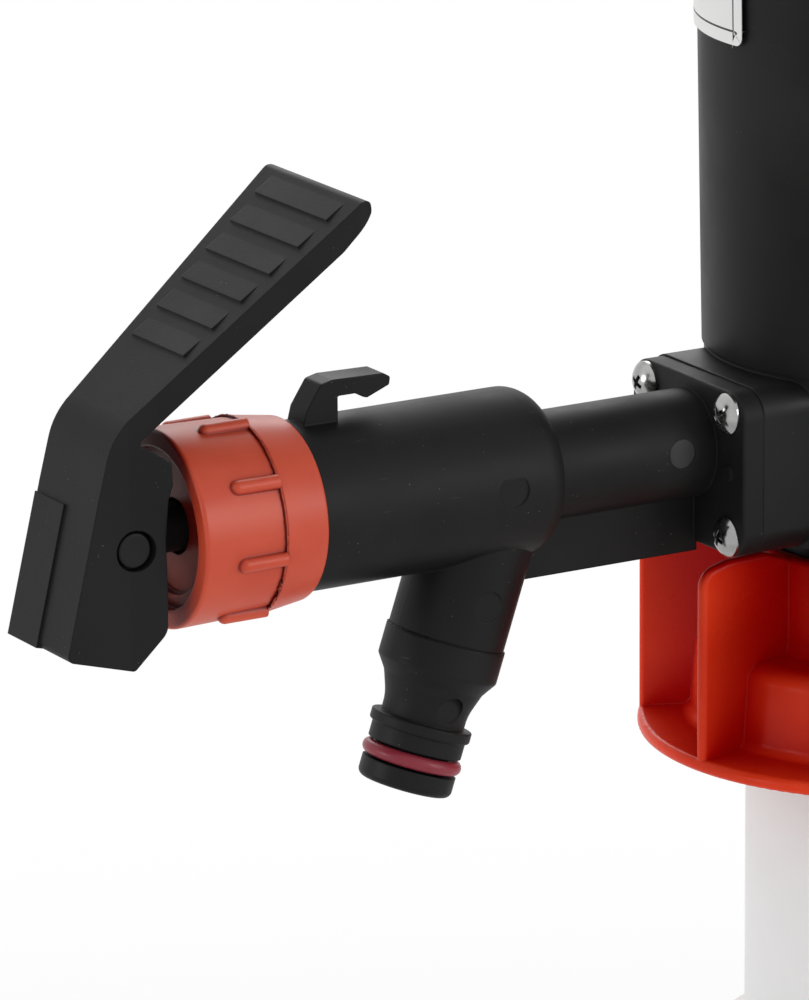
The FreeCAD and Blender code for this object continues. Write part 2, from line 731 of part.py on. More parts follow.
def make_neck_adapter():
    """Threaded ring that slides on the suction tube and fits the cap to a narrower bung."""
    bore_r = TUBE_R + LOOSE
    body = revolved_z([
        (bore_r, ADAPTER_BOTTOM_Z, ADAPTER_RIM_EDGE_R), (ADAPTER_PLUG_R, ADAPTER_BOTTOM_Z, ADAPTER_EDGE_R),
        (ADAPTER_PLUG_R, ADAPTER_FLANGE_BOTTOM_Z),
        (ADAPTER_FLANGE_R, ADAPTER_FLANGE_BOTTOM_Z, ADAPTER_EDGE_R),
        (ADAPTER_FLANGE_R, ADAPTER_FLANGE_TOP_Z, ADAPTER_EDGE_R), (ADAPTER_RIM_R, ADAPTER_FLANGE_TOP_Z),
        (ADAPTER_RIM_R, ADAPTER_TOP_Z, ADAPTER_RIM_EDGE_R), (bore_r, ADAPTER_TOP_Z, ADAPTER_RIM_EDGE_R)])
    rib_low = ADAPTER_FLANGE_BOTTOM_Z + ADAPTER_EDGE_R
    rib_high = ADAPTER_FLANGE_TOP_Z - ADAPTER_EDGE_R
    rib = rod_z(ADAPTER_RIB_R, rib_low, rib_high, x=ADAPTER_FLANGE_R)
    ribbed = joined(body, around_z(rib, ADAPTER_FLANGE_RIBS))
    half = ADAPTER_SEAL_SECTION / 2 + GLUED
    groove_r = TUBE_R + RUNNING + ADAPTER_SEAL_SECTION + GLUED
    grooved = ribbed.cut(rod_z(groove_r, adapter_seal_z() - half, adapter_seal_z() + half))
    return joined(grooved, adapter_threads())


def make_adapter_seal():
    """Ring in the adapter's bore that grips the tube."""
    section_r = ADAPTER_SEAL_SECTION / 2
    return moved(ring_seal(TUBE_R + RUNNING + section_r, section_r), z=adapter_seal_z())


def screw_places():
    """Y and Z of the four flange screws."""
    low = HEAD_BOTTOM_Z + SCREW_LOW
    high = HEAD_BOTTOM_Z + SCREW_HIGH
    return [(y, z) for y in (-SCREW_SPREAD, SCREW_SPREAD) for z in (low, high)]


def make_pump_head():
    """Moulded head: spigot through the cap, round body, outlet block, and the two cylinders' seats."""
    body = rod_z(HEAD_R, HEAD_BOTTOM_Z, HEAD_TOP_Z)
    block = rounded_block_x(BLOCK_X, 0, -BLOCK_HALF, BLOCK_HALF,
                            HEAD_BOTTOM_Z, HEAD_BOTTOM_Z + BLOCK_HEIGHT, BLOCK_CORNER_R)
    spigot = rod_z(SPIGOT_R, FLANGE_TOP_Z, HEAD_BOTTOM_Z + PAST)
    head = joined(body, [block, spigot])
    gallery_floor = ARM_Z - PORT_R - PORT_CLEARANCE
    socket_top = LINER_BOTTOM_Z + LINER_SOCKET_HEIGHT
    hollow = revolved_z([
        (0, FLANGE_TOP_Z - PAST), (HEAD_BORE_R, FLANGE_TOP_Z - PAST), (HEAD_BORE_R, LINER_BOTTOM_Z),
        (LINER_SOCKET_R, LINER_BOTTOM_Z), (LINER_SOCKET_R, socket_top), (GALLERY_IN_R, socket_top),
        (GALLERY_IN_R, gallery_floor), (GALLERY_OUT_R, gallery_floor), (GALLERY_OUT_R, SEAL_BOTTOM_Z),
        (COUNTERBORE_R, SEAL_BOTTOM_Z), (COUNTERBORE_R, HEAD_TOP_Z + PAST), (0, HEAD_TOP_Z + PAST)])
    port = rod_x(PORT_R, BLOCK_X - PAST, -(GALLERY_IN_R + GALLERY_OUT_R) / 2)
    cuts = [hollow, port]
    for y, z in screw_places():
        cuts.append(rod_x(SCREW_R + GLUED, BLOCK_X - PAST, ARM_X + SCREW_LENGTH + SCREW_TIP_ROOM, y, z))
    return head.cut(cuts)


def barrel_r_at(z):
    """The barrel's outer radius at a level: it widens a little upwards."""
    return BARREL_R + (z - HEAD_TOP_Z) * BARREL_DRAFT


def make_barrel():
    """Outer cylinder, with a thinner insert at its foot."""
    top_r = barrel_r_at(BARREL_TOP_Z)
    return revolved_z([
        (BARREL_BORE_R, INSERT_BOTTOM_Z), (INSERT_R, INSERT_BOTTOM_Z), (INSERT_R, HEAD_TOP_Z),
        (BARREL_R, HEAD_TOP_Z), (top_r, BARREL_TOP_Z), (top_r - BARREL_WALL, BARREL_TOP_Z),
        (BARREL_BORE_R, HEAD_TOP_Z)])


def make_barrel_seal():
    return ring_z(INSERT_R - GLUED, GALLERY_OUT_R + GLUED, SEAL_BOTTOM_Z, INSERT_BOTTOM_Z)


def make_barrel_label():
    """Thin sheet wrapped round part of the barrel."""
    bottom = HEAD_TOP_Z + LABEL_BOTTOM
    top = bottom + LABEL_HEIGHT
    low_r = barrel_r_at(bottom) + LABEL_GLUE
    high_r = barrel_r_at(top) + LABEL_GLUE
    wire = outline([(low_r, bottom), (low_r + LABEL_THICK, bottom),
                    (high_r + LABEL_THICK, top), (high_r, top)])
    sheet = Part.Face(wire).revolve(ORIGIN, Z_AXIS, LABEL_SWEEP)
    return turned_about(sheet, Z_AXIS, LABEL_START)


def make_cylinder_liner():
    """Inner cylinder that the piston runs in, open to the barrel near its top."""
    liner = ring_z(LINER_R, LINER_BORE_R, LINER_BOTTOM_Z, LINER_TOP_Z)
    level = LINER_TOP_Z - OVERFLOW_DROP
    hole = Part.makeCylinder(OVERFLOW_R, LINER_R + PAST, V(0, 0, level), X_AXIS)
    return liner.cut(around_z(hole, OVERFLOW_COUNT, 180 / OVERFLOW_COUNT))


def make_barrel_top_cap():
    """Screwed top: ribbed skirt outside the barrel, ring inside the liner, boss for the rod's bush."""
    top_r = barrel_r_at(BARREL_TOP_Z) + GLUED
    outer_r = top_r + TOP_CAP_WALL
    ring_out = LINER_R + TOP_CAP_RING_LEDGE
    ring_in = LINER_BORE_R - GLUED
    ring_wall = ring_in - TOP_CAP_RING_WALL
    boss_low = BARREL_TOP_Z - TOP_CAP_BOSS_DEPTH
    boss_top = TOP_CAP_Z + TOP_CAP_BOSS_RISE
    ledge_r = BUSH_R + GLUED - BUSH_LEDGE
    ledge_top = boss_low + BUSH_LEDGE_THICK
    cap = revolved_z([
        (ledge_r, boss_low), (TOP_CAP_BOSS_R, boss_low), (TOP_CAP_BOSS_R, BARREL_TOP_Z),
        (ring_wall, BARREL_TOP_Z), (ring_wall, LINER_TOP_Z - LINER_PLUG),
        (ring_in, LINER_TOP_Z - LINER_PLUG), (ring_in, LINER_TOP_Z), (ring_out, LINER_TOP_Z),
        (ring_out, BARREL_TOP_Z), (top_r, BARREL_TOP_Z), (top_r, BARREL_TOP_Z - TOP_CAP_SKIRT),
        (outer_r, BARREL_TOP_Z - TOP_CAP_SKIRT, TOP_CAP_SKIRT_EDGE_R), (outer_r, TOP_CAP_Z, TOP_CAP_EDGE_R),
        (TOP_CAP_BOSS_R + TOP_CAP_BOSS_FLARE, TOP_CAP_Z, TOP_CAP_BOSS_EDGE_R),
        (TOP_CAP_BOSS_R, boss_top, TOP_CAP_BOSS_EDGE_R),
        (BUSH_R + GLUED, boss_top), (BUSH_R + GLUED, ledge_top), (ledge_r, ledge_top)])
    rib_low = BARREL_TOP_Z - TOP_CAP_SKIRT + TOP_CAP_RIB_FOOT
    rib_high = TOP_CAP_Z - TOP_CAP_RIB_DROP
    rib = rod_z(TOP_CAP_RIB_R, rib_low, rib_high, x=outer_r)
    rib = rib.fuse(Part.makeSphere(TOP_CAP_RIB_R, V(outer_r, 0, rib_high)))
    return joined(cap, around_z(rib, TOP_CAP_RIBS))


def make_rod_guide_bush():
    """Flanged bush that guides the rod."""
    flange_z = TOP_CAP_Z + TOP_CAP_BOSS_RISE
    bottom = BARREL_TOP_Z - TOP_CAP_BOSS_DEPTH + BUSH_LEDGE_THICK + ROD_SEAL_THICK
    bore_r = ROD_R + RUNNING
    return revolved_z([
        (bore_r, bottom), (BUSH_R, bottom), (BUSH_R, flange_z), (BUSH_FLANGE_R, flange_z),
        (BUSH_FLANGE_R, BUSH_TOP_Z, BUSH_FLANGE_EDGE_R), (bore_r, BUSH_TOP_Z, BUSH_BORE_EDGE_R)])


def make_rod_seal():
    bottom = BARREL_TOP_Z - TOP_CAP_BOSS_DEPTH + BUSH_LEDGE_THICK
    return ring_z(BUSH_R, ROD_R + RUNNING, bottom, bottom + ROD_SEAL_THICK)


def make_piston_head():
    """Piston with a groove for its seal, flow holes, and a hub that holds the rod."""
    radius = LINER_BORE_R - PISTON_GAP
    groove_r = LINER_BORE_R - PISTON_SEAL_DEPTH
    groove_low = PISTON_Z + (PISTON_THICK - PISTON_SEAL_WIDTH) / 2
    groove_high = groove_low + PISTON_SEAL_WIDTH
    stop_z = PISTON_TOP_Z + 2 * LOOSE + DISC_THICK + DISC_LIFT
    piston = revolved_z([
        (ROD_TIP_R + RUNNING, PISTON_Z + CLIP_RECESS), (CLIP_R + LOOSE, PISTON_Z + CLIP_RECESS),
        (CLIP_R + LOOSE, PISTON_Z), (radius, PISTON_Z, PISTON_EDGE_R), (radius, groove_low),
        (groove_r, groove_low), (groove_r, groove_high), (radius, groove_high),
        (radius, PISTON_TOP_Z, PISTON_EDGE_R), (HUB_R, PISTON_TOP_Z),
        (HUB_R, stop_z), (HUB_R - STOP_GROOVE, stop_z), (HUB_R - STOP_GROOVE, stop_z + STOP_THICK),
        (HUB_R, stop_z + STOP_THICK), (HUB_R, HUB_TOP_Z, HUB_EDGE_R), (ROD_TIP_R + RUNNING, HUB_TOP_Z)])
    hole = rod_z(FLOW_HOLE_R, PISTON_Z - PAST, PISTON_TOP_Z + PAST, x=FLOW_CIRCLE_R)
    return piston.cut(around_z(hole, FLOW_HOLE_COUNT))


def make_piston_seal():
    """Two-lipped ring that fills the piston's groove."""
    low = PISTON_Z + (PISTON_THICK - PISTON_SEAL_WIDTH) / 2 + GLUED
    high = low + PISTON_SEAL_WIDTH - 2 * GLUED
    inner = LINER_BORE_R - PISTON_SEAL_DEPTH + GLUED
    outer = LINER_BORE_R - RUNNING
    waist = outer - SEAL_WAIST_DEPTH
    waist_low = (low + high) / 2 - SEAL_WAIST / 2
    return revolved_z([
        (inner, low), (outer, low), (outer, low + SEAL_LIP), (waist, waist_low, SEAL_WAIST_R),
        (waist, waist_low + SEAL_WAIST, SEAL_WAIST_R), (outer, high - SEAL_LIP), (outer, high),
        (inner, high)])


def make_piston_valve_disc():
    """Rubber disc that lifts off the piston's holes."""
    bottom = PISTON_TOP_Z + LOOSE
    return ring_z(DISC_R, HUB_R + LOOSE, bottom, bottom + DISC_THICK)


def make_piston_valve_stop():
    """Washer snapped into the hub, over the disc."""
    bottom = PISTON_TOP_Z + 2 * LOOSE + DISC_THICK + DISC_LIFT
    return ring_z(STOP_R, HUB_R - STOP_GROOVE + GLUED, bottom, bottom + STOP_THICK)


def clip_levels():
    """Lowest and highest level of the rod's clip."""
    top = PISTON_Z + CLIP_RECESS - LOOSE
    return top - CLIP_THICK, top


def make_piston_rod():
    """Steel rod: its thinner tip turns in the piston, its top holds the handle's screw."""
    clip_low, clip_high = clip_levels()
    shoulder = HUB_TOP_Z + LOOSE
    rod = revolved_z([
        (0, clip_low - ROD_END), (ROD_TIP_R, clip_low - ROD_END, ROD_END_EDGE_R), (ROD_TIP_R, clip_low),
        (ROD_NECK_R, clip_low), (ROD_NECK_R, clip_high), (ROD_TIP_R, clip_high),
        (ROD_TIP_R, shoulder), (ROD_R, shoulder),
        (ROD_R, ROD_TOP_Z), (0, ROD_TOP_Z)])
    depth = HANDLE_SCREW_LENGTH + PAST
    return rod.cut(rod_z(HANDLE_SCREW_R + GLUED, handle_screw_z() - depth, ROD_TOP_Z + PAST))


def make_rod_clip():
    """Open clip in the rod's groove."""
    low, high = clip_levels()
    clip = ring_z(CLIP_R, ROD_NECK_R + GLUED, low, high)
    half = ROD_NECK_R - CLIP_GRIP
    mouth = box(0, CLIP_R + PAST, -half, half, low - PAST, high + PAST)
    return clip.cut(mouth)


def handle_screw_z():
    """Level of the face that the handle screw's head bears on."""
    return HANDLE_Z + HANDLE_R - HANDLE_SCREW_HEAD - HANDLE_SCREW_SUNK


def make_handle_grip():
    """T-handle: a waisted grip across the rod and a hub round the rod's top."""
    half = HANDLE_LENGTH / 2
    waist_r = HANDLE_R - HANDLE_WAIST
    waist = half * HANDLE_WAIST_PLACE
    swell = half * HANDLE_SWELL_PLACE
    profile = outline([
        (0, -half), (HANDLE_R, -half, HANDLE_END_ROUND), (HANDLE_R, -swell, HANDLE_CURVE_R),
        (waist_r, -waist, HANDLE_CURVE_R), (HANDLE_R, 0, HANDLE_MIDDLE_CURVE_R),
        (waist_r, waist, HANDLE_CURVE_R), (HANDLE_R, swell, HANDLE_CURVE_R),
        (HANDLE_R, half, HANDLE_END_ROUND), (0, half)])
    grip = Part.Face(profile).revolve(ORIGIN, Z_AXIS, 360)
    grip = moved(turned_about(grip, X_AXIS, 90), z=HANDLE_Z)
    hub = revolved_z([
        (0, HANDLE_HUB_Z), (HANDLE_HUB_R, HANDLE_HUB_Z, HANDLE_HUB_EDGE_R),
        (HANDLE_HUB_R + HANDLE_HUB_FLARE, HANDLE_Z), (0, HANDLE_Z)])
    handle = joined(grip, [hub])
    seat = handle_screw_z()
    return handle.cut([
        rod_z(ROD_R + GLUED, HANDLE_HUB_Z - PAST, ROD_TOP_Z),
        rod_z(HANDLE_SCREW_R + SCREW_HOLE_GAP, ROD_TOP_Z - PAST, seat + PAST),
        rod_z(HANDLE_SCREW_HEAD_R + HANDLE_SCREW_HEAD_GAP, seat, HANDLE_Z + HANDLE_R + PAST)])


def make_handle_screw():
    screw = pan_screw(HANDLE_SCREW_R, HANDLE_SCREW_LENGTH, HANDLE_SCREW_HEAD_R, HANDLE_SCREW_HEAD)
    return moved(screw, z=handle_screw_z())


def foot_levels():
    """Levels of the foot valve: its flange's underside, its floor, the ball's stop and its top."""
    floor = TUBE_BOTTOM_Z + SEAT_FLOOR
    stop = ball_z() + BALL_R + BALL_LIFT + LOOSE
    return TUBE_BOTTOM_Z - FOOT_FLANGE_THICK, floor, stop, stop + CAGE_RING


def ball_z():
    """Level of the ball's centre, just clear of its seat's upper edge."""
    return TUBE_BOTTOM_Z + SEAT_FLOOR + math.sqrt(BALL_R ** 2 - SEAT_R ** 2) + LOOSE


def make_foot_valve_body():
    """Seat for the ball, pushed into the suction tube's lower end."""
    flange, floor, _, top = foot_levels()
    sleeve_r = TUBE_BORE_R - GLUED
    bore_r = sleeve_r - FOOT_BODY_WALL
    return revolved_z([
        (SEAT_R, flange), (TUBE_R, flange, FOOT_EDGE_R), (TUBE_R, TUBE_BOTTOM_Z), (sleeve_r, TUBE_BOTTOM_Z),
        (sleeve_r, top), (bore_r, top), (bore_r, floor), (SEAT_R, floor)])


def make_foot_valve_ball():
    return Part.makeSphere(BALL_R, V(0, 0, ball_z()))


def make_foot_valve_cage():
    """Fins that guide the ball, and a cross that stops its lift."""
    _, floor, stop, top = foot_levels()
    outer = TUBE_BORE_R - GLUED - FOOT_BODY_WALL - GLUED
    ring = ring_z(outer, outer - CAGE_RING_WALL, stop, top)
    half = CAGE_FIN_THICK / 2
    fins = []
    for fin in (box(BALL_R + LOOSE, outer - LAP, -half, half, floor + LOOSE, stop + LAP),
                box(-PAST, outer - LAP, -half, half, stop, top)):
        fins.extend(around_z(fin, CAGE_FINS, 180 / CAGE_FINS))
    return joined(ring, fins)


def make_strainer():
    """Slotted basket glued under the foot valve."""
    top = foot_levels()[0]
    bottom = top - STRAINER_DEPTH
    basket = revolved_z([
        (0, bottom), (STRAINER_R, bottom, STRAINER_EDGE_R), (STRAINER_R, top),
        (STRAINER_R - STRAINER_WALL, top),
        (STRAINER_R - STRAINER_WALL, bottom + STRAINER_WALL, STRAINER_INNER_EDGE_R),
        (0, bottom + STRAINER_WALL)])
    half = STRAINER_SLOT_WIDTH / 2
    slot = box(STRAINER_R - STRAINER_SLOT_DEPTH, STRAINER_R + PAST, -half, half,
               bottom + STRAINER_SLOT_INSET, top - STRAINER_SLOT_INSET)
    hole = rod_z(STRAINER_HOLE_R, bottom - PAST, bottom + STRAINER_WALL + PAST,
                 x=STRAINER_R * STRAINER_HOLE_PLACE)
    cuts = around_z(slot, STRAINER_SLOTS) + around_z(hole, STRAINER_SLOTS // 2)
    cuts.append(rod_z(STRAINER_HOLE_R, bottom - PAST, bottom + STRAINER_WALL + PAST))
    return basket.cut(cuts)


def make_arm_tubes():
    """Flange, thin tube and valve body before they are bored."""
    flange = rounded_block_x(ARM_X, BLOCK_X, -BLOCK_HALF, BLOCK_HALF, HEAD_BOTTOM_Z,
                             HEAD_BOTTOM_Z + FLANGE_HEIGHT, BLOCK_CORNER_R)
    rim = [e for e in flange.Edges if abs(e.CenterOfMass.x - ARM_X) < TOUCH]
    flange = flange.makeFillet(FLANGE_EDGE_R, rim)
    shoulder = min(SHOULDER_R, BODY_R - THIN_TUBE_R - TOUCH)
    tube = revolved_x([
        (BLOCK_X, 0), (BLOCK_X, THIN_TUBE_R), (BODY_START_X + shoulder, THIN_TUBE_R),
        (BODY_START_X + shoulder, BODY_R, shoulder), (BODY_END_X, BODY_R), (BODY_END_X, BODY_NECK_R),
        (NECK_END_X, BODY_NECK_R), (NECK_END_X, 0)])
    dot = rod_x(DOT_R, ARM_X - DOT_HEIGHT, ARM_X + LAP, -SCREW_SPREAD, ARM_Z - DOT_DROP)
    return joined(flange, [tube, dot])


def make_spout():
    """Spout, before it is bored, from the arm's axis to the seam."""
    return along_spout(rod_z(SPOUT_R, 0, SPOUT_LENGTH))


def make_web():
    """Plate under the thin tube, from the flange to the spout."""
    left = SPOUT_X - WEB_DROP * math.tan(math.radians(SPOUT_TILT))
    return slab_y([(ARM_X + LAP, ARM_Z - WEB_DROP), (ARM_X + LAP, ARM_Z), (SPOUT_X, ARM_Z),
                   (left, ARM_Z - WEB_DROP)], -WEB_THICK / 2, WEB_THICK / 2)


def make_hook():
    """Hook on top of the valve body."""
    points = [(BODY_END_X + x, ARM_Z + z, r) for x, z, r in HOOK_OUTLINE]
    return slab_y(points, -HOOK_WIDTH / 2, HOOK_WIDTH / 2)


def mark_y(x, z, radius, mark_r):
    """A disc along Y that cuts a shallow round mark into the -Y side of a tube."""
    face = -(radius - MARK_DEPTH)
    return Part.makeCylinder(mark_r, BODY_R, V(x, face - BODY_R, z), Y_AXIS)


def make_ejector_marks():
    """Shallow round marks on the -Y side of the body, the thin tube and the spout."""
    return [
        mark_y(BODY_START_X - MARK_INSET, ARM_Z + MARK_RISE, BODY_R, BODY_MARK_R),
        mark_y(ARM_X - MARK_INSET, ARM_Z + MARK_RISE, THIN_TUBE_R, TUBE_MARK_R),
        along_spout(mark_y(0, SPOUT_MARK, SPOUT_R, TUBE_MARK_R))]


def make_outlet_arm():
    """Flange, thin tube, valve body, hook, web and spout, moulded as one."""
    arm = joined(make_arm_tubes(), [make_web(), make_spout(), make_hook()])
    seat_r = PASSAGE_R + SEAT_RING_WALL
    chamber = revolved_x([
        (BLOCK_X + PAST, 0), (BLOCK_X + PAST, PASSAGE_R), (SEAT_X, PASSAGE_R), (SEAT_X, seat_r),
        (CHAMBER_X, seat_r), (CHAMBER_X, CHAMBER_R, CHAMBER_EDGE_R), (NECK_END_X - PAST, CHAMBER_R),
        (NECK_END_X - PAST, 0)])
    bore = along_spout(rod_z(SPOUT_BORE_R, 0, SPOUT_LENGTH + PAST))
    socket_start = SPOUT_LENGTH - NIPPLE_PLUG - NIPPLE_PLUG_GAP
    socket = along_spout(rod_z(NIPPLE_PLUG_R + GLUED, socket_start, SPOUT_LENGTH + PAST))
    groove_half = FACE_RING_SECTION / 2 + RING_GAP
    groove = ring_x(FACE_RING_R + groove_half, FACE_RING_R - groove_half,
                    BLOCK_X - FACE_RING_SECTION, BLOCK_X)
    cuts = [chamber, bore, socket, groove] + make_ejector_marks()
    for y, z in screw_places():
        cuts.append(rod_x(SCREW_R + SCREW_HOLE_GAP, ARM_X - PAST, BLOCK_X + PAST, y, z))
    return arm.cut(cuts)


def make_flange_o_ring():
    ring = turned_about(ring_seal(FACE_RING_R, FACE_RING_SECTION / 2 - TOUCH), Y_AXIS, 90)
    return moved(ring, x=BLOCK_X - FACE_RING_SECTION / 2, z=ARM_Z)


def make_flange_screws():
    """Four screws through the arm's flange into the head."""
    screw = pan_screw(SCREW_R, SCREW_LENGTH, SCREW_HEAD_R, SCREW_HEAD)
    screw = turned_about(screw, Y_AXIS, -90)
    screws = []
    for turn, (y, z) in enumerate(screw_places()):
        spun = turned_about(screw, X_AXIS, SCREW_FIRST_TURN + SCREW_NEXT_TURN * turn)
        screws.append(moved(spun, ARM_X, y, z))
    return Part.makeCompound(screws)


def make_hose_nipple():
    """Stepped nozzle, its plug glued into the spout."""
    groove_r = NIPPLE_RING_R - NIPPLE_RING_SECTION
    nipple = revolved_z([
        (SPOUT_BORE_R, -NIPPLE_PLUG), (NIPPLE_PLUG_R, -NIPPLE_PLUG, PLUG_EDGE_R), (NIPPLE_PLUG_R, 0),
        (BAND_R, 0, SEAM_EDGE_R), (BAND_R, BAND_LENGTH, BAND_EDGE_R),
        (SHOULDER_END_R, SHOULDER_END, SHOULDER_EDGE_R), (NIPPLE_NECK_R, NIPPLE_NECK_START, NECK_CURVE_R),
        (NIPPLE_NECK_R, NIPPLE_COLLAR_START), (NIPPLE_COLLAR_R, NIPPLE_COLLAR_START, COLLAR_BACK_EDGE_R),
        (NIPPLE_COLLAR_R, NIPPLE_COLLAR_START + NIPPLE_COLLAR, COLLAR_EDGE_R),
        (NIPPLE_LAND_R, NIPPLE_COLLAR_START + NIPPLE_COLLAR), (NIPPLE_LAND_R, NIPPLE_LAND_END, SEAM_EDGE_R),
        (groove_r, NIPPLE_LAND_END), (groove_r, NIPPLE_NOSE_START), (NIPPLE_NOSE_R, NIPPLE_NOSE_START),
        (NIPPLE_NOSE_R, NIPPLE_END, NOSE_EDGE_R), (SPOUT_BORE_R, NIPPLE_END, COLLAR_EDGE_R)])
    nipple = nipple.cut(mark_y(0, NIPPLE_MARK, NIPPLE_NECK_R, NIPPLE_MARK_R))
    return along_spout(moved(nipple, z=SPOUT_LENGTH))


def make_nipple_o_ring():
    ring = ring_seal(NIPPLE_RING_R - NIPPLE_RING_SECTION / 2, NIPPLE_RING_SECTION / 2)
    middle = (NIPPLE_LAND_END + NIPPLE_NOSE_START) / 2
    return along_spout(moved(ring, z=SPOUT_LENGTH + middle))


def make_gland_nut():
    """Nut that clamps the stem's guide, with nubs to turn it by."""
    inner_r = BODY_NECK_R + GLUED
    floor_x = GUIDE_FLANGE_X - NUT_FLOOR
    recess_r = NUT_RIM_R - NUT_RIM_WALL
    inner_step_r = recess_r - NUT_INNER_STEP
    hole_r = STEM_R + NUT_HOLE_GAP
    nut = revolved_x([
        (NUT_EDGE_X, inner_r), (NUT_EDGE_X, NUT_EDGE_R, NUT_SMALL_EDGE_R),
        (NUT_STEP_X, NUT_RING_R, NUT_EDGE_ROUND), (NUT_STEP_X, NUT_STEP_R),
        (NUT_RIM_X, NUT_RIM_R, NUT_RIM_ROUND), (NUT_RIM_X, recess_r, NUT_EDGE_ROUND),
        (NUT_RIM_X + NUT_RIM_DEPTH, recess_r), (NUT_RIM_X + NUT_RIM_DEPTH, inner_step_r, NUT_SMALL_EDGE_R),
        (floor_x, inner_step_r), (floor_x, hole_r), (GUIDE_FLANGE_X, hole_r),
        (GUIDE_FLANGE_X, inner_r)])
    nub_r = NUB_WIDTH / 2
    nub_x = NUT_RIM_X + NUB_INSET + nub_r
    nub_z = ARM_Z + NUT_RING_R + NUB_PROUD - nub_r
    bar = rod_x(nub_r, nub_x, NUT_STEP_X, 0, nub_z)
    foot = box(nub_x, NUT_STEP_X, -nub_r, nub_r, nub_z - nub_r, nub_z)
    heel = rod_z(nub_r, nub_z - nub_r, nub_z, x=nub_x)
    nub = bar.fuse([foot, heel, Part.makeSphere(nub_r, V(nub_x, 0, nub_z))])
    return joined(nut, around_x(nub, NUB_COUNT, 90 - NUB_ANGLE))


def make_stem_guide():
    """Bush that guides the stem and closes the spring's chamber."""
    guide_r = CHAMBER_R - GLUED
    groove_start = NECK_END_X + STEM_RING_INSET
    groove_end = groove_start + STEM_RING_SECTION + STEM_GROOVE_ROOM
    groove_r = STEM_R + STEM_RING_SECTION + STEM_GROOVE_GAP
    flange_r = BODY_NECK_R - GUIDE_FLANGE_INSET
    return revolved_x([
        (GUIDE_FLANGE_X, GUIDE_BORE_R), (GUIDE_FLANGE_X, flange_r), (NECK_END_X, flange_r),
        (NECK_END_X, guide_r), (GUIDE_INNER_X, guide_r), (GUIDE_INNER_X, GUIDE_BORE_R),
        (groove_end, GUIDE_BORE_R), (groove_end, groove_r), (groove_start, groove_r),
        (groove_start, GUIDE_BORE_R)])


def make_stem_o_ring():
    section_r = STEM_RING_SECTION / 2
    ring = turned_about(ring_seal(GUIDE_BORE_R + section_r, section_r), Y_AXIS, 90)
    return moved(ring, x=NECK_END_X + STEM_RING_INSET + section_r + STEM_GROOVE_ROOM / 2, z=ARM_Z)


def make_valve_spring():
    """Coil spring between the stem's holder and its guide."""
    start_x = GUIDE_INNER_X + SPRING_WIRE_R + GLUED
    end_x = STEM_START_X - SPRING_WIRE_R - GLUED
    pitch = (end_x - start_x) / SPRING_TURNS
    coil = coiled_wire(SPRING_R, pitch, SPRING_TURNS, SPRING_WIRE_R)
    return moved(turned_about(coil, Y_AXIS, 90), x=start_x, z=ARM_Z)


def make_valve_stem():
    """Stem: holder for the rubber disc, rod, and a rounded end that takes the lever's pin."""
    end_x = PIN_X - STEM_END
    stem = revolved_x([
        (end_x, 0), (end_x, STEM_R, STEM_END_ROUND), (STEM_START_X, STEM_R),
        (STEM_START_X, HOLDER_R, HOLDER_EDGE_R),
        (HOLDER_X, HOLDER_R), (HOLDER_X, 0)])
    hole = Part.makeCylinder(PIN_R + STEM_PIN_GAP, 4 * STEM_R, V(PIN_X, -2 * STEM_R, ARM_Z), Y_AXIS)
    return stem.cut(hole)


def make_valve_disc():
    return rod_x(TAP_DISC_R, HOLDER_X, TAP_DISC_X)


def make_lever_pin():
    """Pin with a low head at each end, sunk in the lever's cheeks."""
    recess = LEVER_HALF - PIN_HEAD - PIN_SUNK
    end = LEVER_HALF - PIN_SUNK
    pin = revolved_z([
        (0, -end), (PIN_HEAD_R, -end, PIN_HEAD_EDGE_R), (PIN_HEAD_R, -recess), (PIN_R, -recess),
        (PIN_R, recess), (PIN_HEAD_R, recess), (PIN_HEAD_R, end, PIN_HEAD_EDGE_R), (0, end)])
    return moved(turned_about(pin, X_AXIS, 90), x=PIN_X, z=ARM_Z)


def face_frame():
    """Start, direction and outward normal of the lever's upper face, from its tip down."""
    tip = V(LEVER_OUTLINE[0][0], 0, LEVER_OUTLINE[0][1])
    elbow = V(LEVER_OUTLINE[1][0], 0, LEVER_OUTLINE[1][1])
    down = (elbow - tip).normalize()
    return tip, down, V(down.z, 0, -down.x)


def make_grip_ridge(index):
    """One low wedge across the lever's upper face, steep on its lower side."""
    tip, down, normal = face_frame()
    step = RIDGE_FIRST + index * RIDGE_STEP
    half = RIDGE_HALF - index * RIDGE_NARROWING
    corners = []
    for along, height in ((-1, 0), (0, RIDGE_HEIGHT), (0, -LAP), (-1, -LAP)):
        spot = tip + down * (step + along * RIDGE_LENGTH) + normal * height
        corners.append((spot.x, spot.z))
    return slab_y(corners, -half, half)


def make_lever_pad():
    """Low pad on half of the lever's lower face."""
    top = V(LEVER_OUTLINE[2][0], 0, LEVER_OUTLINE[2][1])
    foot = V(LEVER_OUTLINE[3][0], 0, LEVER_OUTLINE[3][1])
    down = (foot - top).normalize()
    normal = V(down.z, 0, -down.x)
    first = top + down * PAD_START
    points = [first + normal * PAD_HEIGHT, first - normal, foot - normal, foot + normal * PAD_HEIGHT]
    return slab_y([(p.x, p.z) for p in points], 0, LEVER_HALF)


